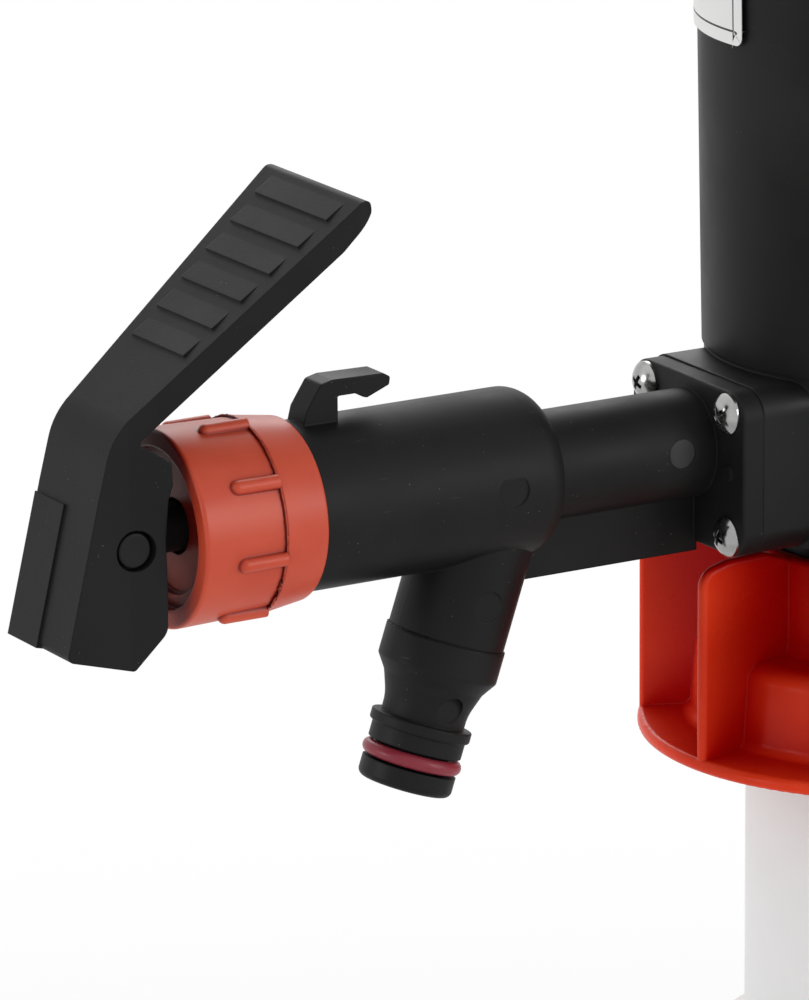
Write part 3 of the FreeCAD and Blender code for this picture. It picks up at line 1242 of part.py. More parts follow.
def lever_fan(inset, corner_r):
    """Tall prism of the lever's outline seen from above, drawn in by an inset."""
    low_x = LEVER_OUTLINE[3][0] - 2 * LEVER_EDGE
    far_x = LEVER_OUTLINE[-1][0] + LEVER_FAN_REACH
    half = LEVER_HALF - inset
    far_half = LEVER_TIP_HALF - inset
    points = [(low_x, -half), (LEVER_FAN_START, -half), (far_x, -far_half, corner_r),
              (far_x, far_half, corner_r), (LEVER_FAN_START, half), (low_x, half)]
    height = 2 * LEVER_OUTLINE[0][1]
    fan = turned_about(Part.Face(outline(points)), X_AXIS, 90).extrude(V(0, 0, height))
    return moved(fan, z=-height / 2)


def lever_pocket():
    """Hollow behind the thumb plate, open to the back."""
    tip, down, normal = face_frame()
    start = tip + down * POCKET_START - normal * (LEVER_SKIN + RIDGE_HEIGHT / 2)
    end = start + down * POCKET_LENGTH
    deep = normal * POCKET_DEPTH
    corners = [start, end, end - deep, start - deep]
    pocket = slab_y([(p.x, p.z) for p in corners], -LEVER_TIP_HALF, LEVER_TIP_HALF)
    return pocket.common(lever_fan(LEVER_EDGE, 0))


def lever_slot():
    """Room for the stem's end between the cheeks."""
    top_x, top_z = LEVER_OUTLINE[2][:2]
    low_x, low_z = LEVER_OUTLINE[3][:2]
    far_x = 3 * STEM_R
    below = low_z - 2 * STEM_R
    return slab_y([
        (top_x + LEVER_BACK_WALL, LEVER_SLOT_TOP, LEVER_SLOT_EDGE_R), (top_x + LEVER_BACK_WALL, top_z),
        (low_x + LEVER_BACK_WALL, low_z), (low_x + LEVER_BACK_WALL, below), (far_x, below),
        (far_x, LEVER_SLOT_TOP)], -LEVER_SLOT_HALF, LEVER_SLOT_HALF)


def make_lever():
    """Thumb lever: hollow-backed plate above, two cheeks round the stem's end below."""
    side = slab_y(LEVER_OUTLINE, -2 * LEVER_TIP_HALF, 2 * LEVER_TIP_HALF)
    lever = side.common(lever_fan(0, LEVER_TIP_CORNER_R))
    ridges = [make_grip_ridge(i) for i in range(RIDGE_COUNT)]
    lever = joined(lever, ridges + [make_lever_pad()])
    hole = Part.makeCylinder(PIN_R + RUNNING, 4 * LEVER_HALF, V(0, -2 * LEVER_HALF, 0), Y_AXIS)
    cuts = [lever_pocket(), lever_slot(), hole]
    recess = LEVER_HALF - PIN_HEAD - 2 * PIN_SUNK
    for y in (-recess - LEVER_HALF, recess):
        cuts.append(Part.makeCylinder(PIN_HEAD_RECESS_R, LEVER_HALF, V(0, y, 0), Y_AXIS))
    return moved(lever.cut(cuts), x=PIN_X, z=ARM_Z)


PIECES = {
    "suction_tube": make_suction_tube,
    "cap_gasket": make_cap_gasket,
    "neck_adapter": make_neck_adapter,
    "adapter_seal": make_adapter_seal,
    "tube_socket": make_tube_socket,
    "drum_cap": make_drum_cap,
    "pump_head": make_pump_head,
    "barrel": make_barrel,
    "barrel_seal": make_barrel_seal,
    "barrel_label": make_barrel_label,
    "cylinder_liner": make_cylinder_liner,
    "barrel_top_cap": make_barrel_top_cap,
    "rod_guide_bush": make_rod_guide_bush,
    "rod_seal": make_rod_seal,
    "piston_head": make_piston_head,
    "piston_seal": make_piston_seal,
    "piston_valve_disc": make_piston_valve_disc,
    "piston_valve_stop": make_piston_valve_stop,
    "piston_rod": make_piston_rod,
    "rod_clip": make_rod_clip,
    "handle_grip": make_handle_grip,
    "handle_screw": make_handle_screw,
    "foot_valve_body": make_foot_valve_body,
    "foot_valve_ball": make_foot_valve_ball,
    "foot_valve_cage": make_foot_valve_cage,
    "strainer": make_strainer,
    "outlet_arm": make_outlet_arm,
    "flange_o_ring": make_flange_o_ring,
    "flange_screws": make_flange_screws,
    "hose_nipple": make_hose_nipple,
    "nipple_o_ring": make_nipple_o_ring,
    "gland_nut": make_gland_nut,
    "stem_guide": make_stem_guide,
    "stem_o_ring": make_stem_o_ring,
    "valve_spring": make_valve_spring,
    "valve_stem": make_valve_stem,
    "valve_disc": make_valve_disc,
    "lever_pin": make_lever_pin,
    "lever": make_lever,
}

os.makedirs("parts", exist_ok=True)
for name, make in PIECES.items():
    shape = make()
    solids = len(shape.Solids)
    valid = shape.isValid()
    print(name, "solids", solids, "valid", valid, "volume mm3", round(shape.Volume, 1))
    shape.exportStep("parts/" + name + ".step")
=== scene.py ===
# %% [markdown]
# # A lift pump for a drum, dressed for the camera
#
# The frame holds every working piece of the pump at its real size: the suction tube, the winged
# cap, the head, the barrel, the outlet arm with its tap, and all that moves inside them.
# Here we give each piece the finish it has on the real pump, and model anew the few small things
# that need a finer hand: the label's film, the screws' heads and the nut's moulding flash.
#
# The frame is loaded first, because everything else is placed by it.

# %% Load the frame
import json
import math

import bpy
from mathutils import Matrix, Vector


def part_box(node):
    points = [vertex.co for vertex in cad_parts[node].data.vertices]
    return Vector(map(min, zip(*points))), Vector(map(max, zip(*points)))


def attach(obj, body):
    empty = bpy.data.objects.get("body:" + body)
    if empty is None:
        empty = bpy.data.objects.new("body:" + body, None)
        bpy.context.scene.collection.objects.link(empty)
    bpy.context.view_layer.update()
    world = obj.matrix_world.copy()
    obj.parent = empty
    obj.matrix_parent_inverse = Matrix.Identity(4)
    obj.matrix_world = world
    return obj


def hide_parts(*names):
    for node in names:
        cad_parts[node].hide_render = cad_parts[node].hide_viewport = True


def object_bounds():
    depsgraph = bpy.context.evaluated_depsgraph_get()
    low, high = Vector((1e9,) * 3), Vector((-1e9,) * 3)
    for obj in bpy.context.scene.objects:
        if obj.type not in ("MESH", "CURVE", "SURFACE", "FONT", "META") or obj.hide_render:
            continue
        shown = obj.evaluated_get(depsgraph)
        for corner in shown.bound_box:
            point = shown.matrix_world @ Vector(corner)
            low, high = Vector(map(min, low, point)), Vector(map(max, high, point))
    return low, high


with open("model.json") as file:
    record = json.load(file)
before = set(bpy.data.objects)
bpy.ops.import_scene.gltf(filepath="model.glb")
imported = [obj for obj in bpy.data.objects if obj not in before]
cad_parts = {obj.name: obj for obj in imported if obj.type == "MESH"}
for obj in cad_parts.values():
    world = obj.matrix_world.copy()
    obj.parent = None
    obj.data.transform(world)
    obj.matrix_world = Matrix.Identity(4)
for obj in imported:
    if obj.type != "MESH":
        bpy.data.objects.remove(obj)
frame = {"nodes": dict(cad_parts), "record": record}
cad_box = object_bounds()
nodes = frame["nodes"]
MM = 0.001
print("CAD box in mm:", [[round(c / MM, 1) for c in corner] for corner in cad_box])

# %% [markdown]
# ## The camera
#
# The photograph was taken from far away with a long lens: parallel edges stay parallel. The
# picture looks 30.6 degrees round from the -Y side and 15.6 degrees down. We build the camera's
# three directions from those angles, and a small roll, instead of aiming it by eye.

# %% Camera at the photograph's place
VIEW_TURN = math.radians(30.567)
VIEW_DOWN = math.radians(15.597)
VIEW_ROLL = math.radians(-0.392)
CAMERA_PLACE = Vector((-725.982, -1067.407, 391.641)) * MM
LENS = 288.0
SENSOR = 36.0
CAMERA_FAR = 100.0

forward = Vector((
    math.sin(VIEW_TURN) * math.cos(VIEW_DOWN),
    math.cos(VIEW_TURN) * math.cos(VIEW_DOWN),
    -math.sin(VIEW_DOWN)))
level_right = Vector((math.cos(VIEW_TURN), -math.sin(VIEW_TURN), 0))
level_up = level_right.cross(forward)
right = level_right * math.cos(VIEW_ROLL) + level_up * math.sin(VIEW_ROLL)
up = level_up * math.cos(VIEW_ROLL) - level_right * math.sin(VIEW_ROLL)

camera_data = bpy.data.cameras.new("photo_camera")
camera_data.sensor_fit = "VERTICAL"
camera_data.sensor_height = SENSOR
camera_data.lens = LENS
camera_data.clip_end = CAMERA_FAR
camera = bpy.data.objects.new("photo_camera", camera_data)
bpy.context.scene.collection.objects.link(camera)
turned = Matrix((right, up, -forward)).transposed()
camera.matrix_world = Matrix.Translation(CAMERA_PLACE) @ turned.to_4x4()
bpy.context.scene.camera = camera
print("camera distance in mm:", round(CAMERA_PLACE.length / MM))

# %% [markdown]
# ## Helpers for node trees
#
# A material is a small graph. Writing `tree.links.new(...)` for every wire hides what the graph
# does, so one helper adds a node and fills its inputs: a plain value is set on the socket, and a
# socket is wired to it.

# %% Node helpers
NODE_STEP = 200


def fill(tree, socket, value):
    """Wire a socket to an input, or set a plain value on it."""
    if isinstance(value, bpy.types.NodeSocket):
        tree.links.new(value, socket)
    else:
        socket.default_value = value


def put_node(tree, kind, place):
    """Add a bare node at a place counted in steps of the graph."""
    node = tree.nodes.new(kind)
    node.location = (place[0] * NODE_STEP, place[1] * NODE_STEP)
    return node


def add_node(tree, kind, place, settings=None, **inputs):
    """Add a node at a place in the graph, with its settings and its inputs."""
    node = put_node(tree, kind, place)
    for name, value in (settings or {}).items():
        setattr(node, name, value)
    for name, value in inputs.items():
        fill(tree, node.inputs[name.replace("_", " ")], value)
    return node


def new_group(name, inputs, outputs):
    """Start a shader node group. Each input is (name, kind, default); each output (name, kind)."""
    tree = bpy.data.node_groups.new(name, "ShaderNodeTree")
    for label, kind, default in inputs:
        made = tree.interface.new_socket(name=label, in_out="INPUT", socket_type=kind)
        if default is not None:
            made.default_value = default
    for label, kind in outputs:
        tree.interface.new_socket(name=label, in_out="OUTPUT", socket_type=kind)
    start = put_node(tree, "NodeGroupInput", (-5, 0))
    end = put_node(tree, "NodeGroupOutput", (5, 0))
    return tree, start.outputs, end.inputs


def math_node(tree, place, operation, first, second):
    """One Math node; each operand is a number or a socket."""
    node = put_node(tree, "ShaderNodeMath", place)
    node.operation = operation
    fill(tree, node.inputs[0], first)
    fill(tree, node.inputs[1], second)
    return node.outputs["Value"]


def mix_tones(tree, place, share, first, second):
    """Blend two colours by a share from 0 to 1."""
    node = put_node(tree, "ShaderNodeMix", place)
    node.data_type = "RGBA"
    share_in = node.inputs[0]
    first_in = node.inputs[6]
    second_in = node.inputs[7]
    fill(tree, share_in, share)
    fill(tree, first_in, first)
    fill(tree, second_in, second)
    return node.outputs[2]


def colour(tone):
    """A colour socket's value from red, green and blue."""
    return (*tone, 1)

# %% [markdown]
# ## Shared effects
#
# Nearly every piece of this pump is injection moulded, so the same few effects come back with
# other values: a fine grain from the mould's skin, corners that are never quite sharp, a slow
# drift of tone where the melt cooled unevenly, and pale dust and rubs. Each is a node group,
# built once.

# %% Mould grain
FLOAT = "NodeSocketFloat"
COLOUR = "NodeSocketColor"
VECTOR = "NodeSocketVector"

grain, grain_in, grain_out = new_group(
    "mould_grain",
    [("Place", VECTOR, None), ("Edge Radius", FLOAT, 0.0004),
     ("Grain Scale", FLOAT, 4000.0), ("Grain Depth", FLOAT, 0.000006),
     ("Wave Scale", FLOAT, 60.0), ("Wave Depth", FLOAT, 0.00002)],
    [("Normal", VECTOR)])
soft_edge = add_node(grain, "ShaderNodeBevel", (-4, -2), {"samples": 6}, Radius=grain_in["Edge Radius"])
skin = add_node(grain, "ShaderNodeTexNoise", (-4, 1), Vector=grain_in["Place"],
                Scale=grain_in["Grain Scale"], Detail=3.0, Roughness=0.6)
wave = add_node(grain, "ShaderNodeTexNoise", (-4, 3), Vector=grain_in["Place"],
                Scale=grain_in["Wave Scale"], Detail=1.0, Roughness=0.4)
broad = add_node(grain, "ShaderNodeBump", (-1, 2), Height=wave.outputs["Fac"],
                 Distance=grain_in["Wave Depth"], Normal=soft_edge.outputs["Normal"])
fine = add_node(grain, "ShaderNodeBump", (1, 1), Height=skin.outputs["Fac"],
                Distance=grain_in["Grain Depth"], Normal=broad.outputs["Normal"])
grain.links.new(fine.outputs["Normal"], grain_out["Normal"])
print("mould grain nodes:", len(grain.nodes))

# %% [markdown]
# Tone drift takes a colour and returns it a little lighter and darker in slow clouds, with a few
# pale specks of dust. The roughness follows the clouds too: a cloudier patch shines less. A mask
# is made by stretching a noise between two of its levels, so only part of it counts.

# %% Tone drift
DUST_TONE = (0.6, 0.58, 0.55)

drift, drift_in, drift_out = new_group(
    "tone_drift",
    [("Place", VECTOR, None), ("Tone", COLOUR, (0.5, 0.5, 0.5, 1)),
     ("Light Tone", COLOUR, (0.6, 0.6, 0.6, 1)), ("Cloud Scale", FLOAT, 40.0),
     ("Dust", FLOAT, 0.3), ("Dust Scale", FLOAT, 900.0),
     ("Roughness", FLOAT, 0.45), ("Spread", FLOAT, 0.1)],
    [("Tone", COLOUR), ("Roughness", FLOAT)])
clouds = add_node(drift, "ShaderNodeTexNoise", (-4, 2), Vector=drift_in["Place"],
                  Scale=drift_in["Cloud Scale"], Detail=4.0, Roughness=0.6)
cloud_mask = add_node(drift, "ShaderNodeMapRange", (-3, 2), {"interpolation_type": "SMOOTHSTEP"},
                      Value=clouds.outputs["Fac"], From_Min=0.35, From_Max=0.7)
clouded = mix_tones(drift, (-1, 2), cloud_mask.outputs["Result"], drift_in["Tone"], drift_in["Light Tone"])
specks = add_node(drift, "ShaderNodeTexVoronoi", (-4, -1), Vector=drift_in["Place"],
                  Scale=drift_in["Dust Scale"], Randomness=1.0)
speck_mask = add_node(drift, "ShaderNodeMapRange", (-3, -1), Value=specks.outputs["Distance"],
                      From_Min=0.10, From_Max=0.04)
settled = add_node(drift, "ShaderNodeTexNoise", (-4, -3), Vector=drift_in["Place"], Scale=150.0, Detail=2.0)
settled_mask = add_node(drift, "ShaderNodeMapRange", (-3, -3), Value=settled.outputs["Fac"],
                        From_Min=0.55, From_Max=0.75)
dusty = math_node(drift, (-2, -2), "MULTIPLY", speck_mask.outputs["Result"], settled_mask.outputs["Result"])
dust_share = math_node(drift, (-1, -2), "MULTIPLY", dusty, drift_in["Dust"])
dusted = mix_tones(drift, (1, 1), dust_share, clouded, colour(DUST_TONE))
rough_span = math_node(drift, (0, -1), "MULTIPLY", cloud_mask.outputs["Result"], drift_in["Spread"])
rough_total = math_node(drift, (1, -1), "ADD", rough_span, drift_in["Roughness"])
drift.links.new(dusted, drift_out["Tone"])
drift.links.new(rough_total, drift_out["Roughness"])
print("tone drift nodes:", len(drift.nodes))

# %% [markdown]
# Handling leaves short pale rubs and scratches on black plastic. They are long thin cells of a
# noise that is stretched one way: only its highest peaks count, and only in a few patches.

# %% Handling rubs
RUB_TURN = (0.4, 0.7, 0.3)
RUB_LONG = 260.0
RUB_THIN = 2400.0

rubs, rubs_in, rubs_out = new_group(
    "handling_rubs",
    [("Place", VECTOR, None), ("Tone", COLOUR, (0.01, 0.01, 0.01, 1)),
     ("Rub Tone", COLOUR, (0.05, 0.05, 0.05, 1)), ("Amount", FLOAT, 0.4)],
    [("Tone", COLOUR)])
turned_place = add_node(rubs, "ShaderNodeMapping", (-5, 1), Vector=rubs_in["Place"],
                        Rotation=RUB_TURN, Scale=(RUB_LONG, RUB_LONG, RUB_THIN))
streaks = add_node(rubs, "ShaderNodeTexNoise", (-4, 1), Vector=turned_place.outputs["Vector"],
                   Scale=1.0, Detail=1.0)
streak_mask = add_node(rubs, "ShaderNodeMapRange", (-3, 1), Value=streaks.outputs["Fac"],
                       From_Min=0.72, From_Max=0.80)
patches = add_node(rubs, "ShaderNodeTexNoise", (-4, -1), Vector=rubs_in["Place"], Scale=90.0, Detail=2.0)
patch_mask = add_node(rubs, "ShaderNodeMapRange", (-3, -1), Value=patches.outputs["Fac"],
                      From_Min=0.50, From_Max=0.66)
rub_mask = math_node(rubs, (-2, 0), "MULTIPLY", streak_mask.outputs["Result"], patch_mask.outputs["Result"])
rub_share = math_node(rubs, (-1, 0), "MULTIPLY", rub_mask, rubs_in["Amount"])
rubs.links.new(mix_tones(rubs, (1, 0), rub_share, rubs_in["Tone"], rubs_in["Rub Tone"]), rubs_out["Tone"])
print("handling rubs nodes:", len(rubs.nodes))

# %% [markdown]
# Light that falls between two walls of red plastic comes out redder each time it bounces. So deep
# corners are painted a darker, purer red: painted shade. Ambient occlusion tells how deep a point
# lies, and the group mixes its tone towards the deep one.

# %% Corner depth, painted shade
corners, corners_in, corners_out = new_group(
    "corner_painted_shade",
    [("Tone", COLOUR, (0.5, 0.1, 0.1, 1)), ("Deep Tone", COLOUR, (0.3, 0.0, 0.0, 1)),
     ("Reach", FLOAT, 0.02), ("Amount", FLOAT, 1.0)],
    [("Tone", COLOUR)])
# Painted shade: where ambient occlusion is low, the tone is mixed towards the Deep Tone.
open_share = add_node(corners, "ShaderNodeAmbientOcclusion", (-4, 0), {"samples": 8},
                      Distance=corners_in["Reach"])
painted_shade_mask = add_node(corners, "ShaderNodeMapRange", (-3, 0), {"interpolation_type": "SMOOTHSTEP"},
                     Value=open_share.outputs["AO"], From_Min=0.95, From_Max=0.45)
painted_shade_share = math_node(corners, (-1, 0), "MULTIPLY", painted_shade_mask.outputs["Result"], corners_in["Amount"])
corner_shaded_tone = mix_tones(corners, (1, 0), painted_shade_share, corners_in["Tone"], corners_in["Deep Tone"])
corners.links.new(corner_shaded_tone, corners_out["Tone"])
print("corner depth nodes:", len(corners.nodes))

# %% [markdown]
# ## Moulded plastics
#
# One function makes every plastic: it places the two groups and feeds a Principled shader.
# What is the same all over, such as the specular level, is set on the shader's own socket.

# %% Plastic finish
RUB_GAIN = 4
RUB_LIFT = 0.02
SCATTER = (0.004, 0.0012, 0.0006)


def start_material(name):
    """A new material, with its tree, its shader and the Object coordinates."""
    material = bpy.data.materials.new(name)
    material.use_nodes = True
    tree = material.node_tree
    place = add_node(tree, "ShaderNodeTexCoord", (-6, 0)).outputs["Object"]
    return material, tree, tree.nodes["Principled BSDF"], place


def use_group(tree, group, place, **inputs):
    """Place a node group in a material, with its own values."""
    return add_node(tree, "ShaderNodeGroup", place, {"node_tree": group}, **inputs)


def moulded(name, tone, light_tone, roughness, spread=0.1, edge=0.4, grain_size=0.25,
            grain_depth=0.006, wave=0.02, dust=0.3, specular=0.3, subsurface=0.0, rubbed=0.0,
            painted_shade_tone=None, painted_shade_reach=20.0):
    """A moulded plastic. Edge, grain size, depths and reach are in millimetres."""
    material, tree, shader, place = start_material(name)
    tones = use_group(tree, drift, (-4, 1), Place=place, Tone=colour(tone), Light_Tone=colour(light_tone),
                      Dust=dust, Roughness=roughness, Spread=spread)
    surface = use_group(tree, grain, (-4, -1), Place=place, Edge_Radius=edge * MM,
                        Grain_Scale=1 / (grain_size * MM), Grain_Depth=grain_depth * MM,
                        Wave_Depth=wave * MM)
    tone_out = tones.outputs["Tone"]
    if rubbed:
        rub_tone = [RUB_GAIN * c + RUB_LIFT for c in light_tone]
        worn = use_group(tree, rubs, (-2, 1), Place=place, Tone=tone_out, Rub_Tone=colour(rub_tone),
                         Amount=rubbed)
        tone_out = worn.outputs["Tone"]
    # Painted shade: deep corners are mixed towards a darker tone by ambient occlusion.
    if painted_shade_tone:
        corner_shading = use_group(tree, corners, (-2, 2), Tone=tone_out, Deep_Tone=colour(painted_shade_tone),
                             Reach=painted_shade_reach * MM)
        tone_out = corner_shading.outputs["Tone"]
    tree.links.new(tone_out, shader.inputs["Base Color"])
    tree.links.new(tones.outputs["Roughness"], shader.inputs["Roughness"])
    tree.links.new(surface.outputs["Normal"], shader.inputs["Normal"])
    shader.inputs["Specular IOR Level"].default_value = specular
    if subsurface:
        shader.inputs["Subsurface Weight"].default_value = subsurface
        shader.inputs["Subsurface Radius"].default_value = SCATTER
        shader.inputs["Subsurface Scale"].default_value = 1.0
    return material

# %% [markdown]
# The black pieces come from different moulds: the barrel is smooth, the arm is sparked, and the
# lever is coarser still. Their tones hardly differ; the grain and the roughness tell them apart.
# The cap and the nut are two batches of red, and the nut is the paler and duller one.

# %% Plastics of this pump
def grey(level):
    """A neutral tone."""
    return (level, level, level)


finishes = {
    "moulded_black": moulded("moulded_black", grey(0.006), grey(0.010), 0.40, specular=0.17, rubbed=0.3),
    "arm_black": moulded("arm_black", grey(0.006), grey(0.011), 0.46, spread=0.12, grain_size=0.3,
                         grain_depth=0.010, dust=0.5, specular=0.15, rubbed=0.5),
    "lever_black": moulded("lever_black", grey(0.006), grey(0.010), 0.48, edge=0.35, grain_size=0.45,
                           grain_depth=0.028, dust=0.4, specular=0.15, rubbed=0.2),
    "barrel_black": moulded("barrel_black", grey(0.008), grey(0.013), 0.42, edge=0.3, wave=0.03,
                            dust=0.15, specular=0.12, rubbed=0.2),
    "handle_black": moulded("handle_black", grey(0.007), grey(0.012), 0.42, edge=0.5, specular=0.2,
                            rubbed=0.4),
    # Both reds get painted shade in their deep corners.
    "cap_red": moulded("cap_red", (0.72, 0.038, 0.009), (0.78, 0.056, 0.015), 0.24, spread=0.08,
                       edge=0.5, dust=0.05, wave=0.03, specular=0.11, subsurface=0.08,
                       painted_shade_tone=(0.46, 0.001, 0.001), painted_shade_reach=28.0),
    "nut_red": moulded("nut_red", (0.54, 0.055, 0.022), (0.60, 0.078, 0.034), 0.33, edge=0.5,
                       grain_size=0.35, grain_depth=0.010, dust=0.05, specular=0.34, subsurface=0.05,
                       painted_shade_tone=(0.16, 0.001, 0.001), painted_shade_reach=9.0),
    "tube_white": moulded("tube_white", grey(0.80), grey(0.83), 0.42, dust=0.0, wave=0.05),
    "socket_white": moulded("socket_white", (0.72, 0.72, 0.69), (0.78, 0.78, 0.75), 0.42, edge=0.3,
                            dust=0.0),
    # witness_black's paler grey is a painted sheen of the flat ejector mark.
    "witness_black": moulded("witness_black", grey(0.026), grey(0.034), 0.55, edge=0.05,
                             grain_size=0.2, dust=0.0),
}
print("plastics:", len(finishes))

# %% [markdown]
# ## Rubber and steel
#
# The seals are matt rubber with a bloom of fine powder. The O-ring on the nozzle is a burgundy
# compound that is oiled, so it shines more. The screws, the rod and the spring are plated steel,
# bright but never a mirror: fine drawing lines break up what they reflect.

# %% Rubber and steel finishes
finishes["gasket_rubber"] = moulded("gasket_rubber", grey(0.018), grey(0.030), 0.62, edge=0.2,
                                    grain_size=0.2, dust=0.5)
finishes["ring_burgundy"] = moulded("ring_burgundy", (0.22, 0.022, 0.036), (0.28, 0.032, 0.048), 0.34,
                                    spread=0.12, edge=0.1, grain_size=0.15, grain_depth=0.004, dust=0.1)


def plated_steel(name):
    """Bright plated steel with fine drawing lines and slight tarnish."""
    material, tree, shader, place = start_material(name)
    tones = use_group(tree, drift, (-4, 1), Place=place, Tone=colour(grey(0.33)),
                      Light_Tone=colour((0.44, 0.44, 0.43)), Cloud_Scale=300.0, Dust=0.05,
                      Roughness=0.14, Spread=0.14)
    surface = use_group(tree, grain, (-4, -1), Place=place, Edge_Radius=0.1 * MM, Grain_Scale=7000.0,
                        Grain_Depth=0.002 * MM, Wave_Scale=500.0, Wave_Depth=0.004 * MM)
    tree.links.new(tones.outputs["Tone"], shader.inputs["Base Color"])
    tree.links.new(tones.outputs["Roughness"], shader.inputs["Roughness"])
    tree.links.new(surface.outputs["Normal"], shader.inputs["Normal"])
    shader.inputs["Metallic"].default_value = 1.0
    return material


finishes["steel"] = plated_steel("steel")
print("finishes:", len(finishes))

# %% [markdown]
# ## Printed film
#
# The label is a plastic film, smooth and a little shiny, and its printed line is flat ink.

# %% Label finishes
finishes["label_white"] = moulded("label_white", (0.80, 0.80, 0.79), (0.84, 0.84, 0.83), 0.38, edge=0.05,
                                  grain_size=0.2, grain_depth=0.002, wave=0.01, dust=0.0)
finishes["label_ink"] = moulded("label_ink", (0.012, 0.014, 0.018), (0.02, 0.022, 0.026), 0.4, edge=0.05,
                                grain_size=0.2, grain_depth=0.001, dust=0.0)
print("finishes:", len(finishes))

# %% [markdown]
# ## Every piece gets its finish
#
# The record says what each piece is made of. Reading the finish from there, instead of listing
# the pieces again, means that no working piece is forgotten, not even one deep inside the tap.

# %% Dress every piece of the frame
for part in frame["record"]["subparts"]:
    mesh = nodes[part["node"]].data
    mesh.materials.clear()
    mesh.materials.append(finishes[part["material_slot"]])

# %% [markdown]
# ## Modelling by hand
#
# New pieces are made with the operators a person would click. An operator acts on whatever is
# selected, so every piece starts from an empty selection.

# %% Modelling helpers
SMOOTH_ANGLE = math.radians(30)


def only(piece):
    """Select one object and nothing else."""
    bpy.ops.object.select_all(action="DESELECT")
    piece.select_set(True)
    bpy.context.view_layer.objects.active = piece


def begin(name):
    """Name the primitive that was just added."""
    piece = bpy.context.object
    piece.name = name
    piece.data.name = name
    return piece


def choose_faces(piece, test):
    """In edit mode, select the faces whose centre and normal pass a test."""
    bpy.ops.mesh.select_mode(type="FACE")
    bpy.ops.mesh.select_all(action="DESELECT")
    bpy.ops.object.mode_set(mode="OBJECT")
    for face in piece.data.polygons:
        face.select = test(face.center, face.normal)
    bpy.ops.object.mode_set(mode="EDIT")


def settle(piece):
    """Move the object's place into its mesh, so that the object sits at the origin."""
    only(piece)
    bpy.ops.object.transform_apply(location=True, rotation=True, scale=True)


def finish_modifiers(piece):
    """Apply every modifier, in order."""
    only(piece)
    for modifier in list(piece.modifiers):
        bpy.ops.object.modifier_apply(modifier=modifier.name)

# %% [markdown]
# ## The label
#
# The label is a film wrapped round the barrel, with rounded corners and a thin printed line just
# inside its edge. It is made as it would be on paper: a flat rectangle, its corners rounded, the
# line set in by two insets, then cut into narrow strips and bent round the barrel with a Bend
# modifier. The barrel widens a little upwards, which a Taper modifier follows.

# %% Label film
LABEL_CORNER = 1.6 * MM
LABEL_MARGIN = 2.1 * MM
LABEL_LINE = 0.35 * MM
LABEL_FILM = 0.14 * MM
LABEL_STRIPS = 98
CORNER_STEPS = 6


def label_measures():
    """Start and end angle, low and high level, and inner radius at each, from the CAD label."""
    angles = []
    rims = []
    for vertex in nodes["barrel_label"].data.vertices:
        angle = math.atan2(vertex.co.y, vertex.co.x)
        angles.append(angle if angle > -math.pi / 2 else angle + 2 * math.pi)
        rims.append((vertex.co.z, math.hypot(vertex.co.x, vertex.co.y)))
    low = min(rims)[0]
    high = max(rims)[0]
    inner_low = min(r for z, r in rims if z < low + MM)
    inner_high = min(r for z, r in rims if z > high - MM)
    return min(angles), max(angles), low, high, inner_low, inner_high


start_angle, end_angle, label_low, label_high, low_r, high_r = label_measures()
middle_r = (low_r + high_r) / 2
sweep = end_angle - start_angle
label_length = sweep * middle_r
label_height = label_high - label_low
print("label sweep:", round(math.degrees(sweep), 1), "length mm:", round(label_length / MM, 1))

# %% [markdown]
# The rectangle stands upright in front of the barrel before it's bent. Cutting it into strips
# first matters: the Bend modifier can only move points that exist.

# %% Label as a flat sheet
bpy.ops.object.select_all(action="DESELECT")
bpy.ops.mesh.primitive_plane_add(size=1)
label = begin("label")
label.scale = (label_length, label_height, 1)
label.rotation_euler = (math.pi / 2, 0, 0)
settle(label)
label.data.materials.append(finishes["label_white"])
label.data.materials.append(finishes["label_ink"])
bpy.ops.object.mode_set(mode="EDIT")
bpy.ops.mesh.select_all(action="SELECT")
bpy.ops.mesh.bevel(offset=LABEL_CORNER, segments=CORNER_STEPS, affect="VERTICES")
bpy.ops.mesh.select_all(action="SELECT")
bpy.ops.mesh.inset(thickness=LABEL_MARGIN, depth=0)
bpy.ops.mesh.inset(thickness=LABEL_LINE, depth=0, use_select_inset=True)
label.active_material_index = 1
bpy.ops.object.material_slot_assign()
for strip in range(1, LABEL_STRIPS):
    bpy.ops.mesh.select_all(action="SELECT")
    cut = label_length * (strip / LABEL_STRIPS - 0.5)
    bpy.ops.mesh.bisect(plane_co=(cut, 0, 0), plane_no=(1, 0, 0))
bpy.ops.object.mode_set(mode="OBJECT")
print("flat label faces:", len(label.data.polygons))

# %% [markdown]
# Solidify gives the film its thickness, outwards. Bend wraps it round the Z axis by the label's
# own sweep. After a move to the barrel's axis, Taper spreads its upper end to the barrel's draft.

# %% Label round the barrel
thickness = label.modifiers.new("film", "SOLIDIFY")
thickness.thickness = LABEL_FILM
thickness.offset = 1
bend = label.modifiers.new("round the barrel", "SIMPLE_DEFORM")
bend.deform_method = "BEND"
bend.deform_axis = "Z"
bend.angle = sweep
finish_modifiers(label)
label.location = (0, -middle_r, 0)
settle(label)
taper = label.modifiers.new("follow the draft", "SIMPLE_DEFORM")
taper.deform_method = "TAPER"
taper.deform_axis = "Z"
taper.factor = (high_r - low_r) / middle_r
finish_modifiers(label)
label.rotation_euler = (0, 0, (start_angle + end_angle) / 2 + math.pi / 2)
label.location = (0, 0, (label_low + label_high) / 2)
settle(label)
bpy.ops.object.shade_smooth_by_angle(angle=SMOOTH_ANGLE)
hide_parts("barrel_label")
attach(label, "root")
radii = [math.hypot(v.co.x, v.co.y) / MM for v in label.data.vertices]
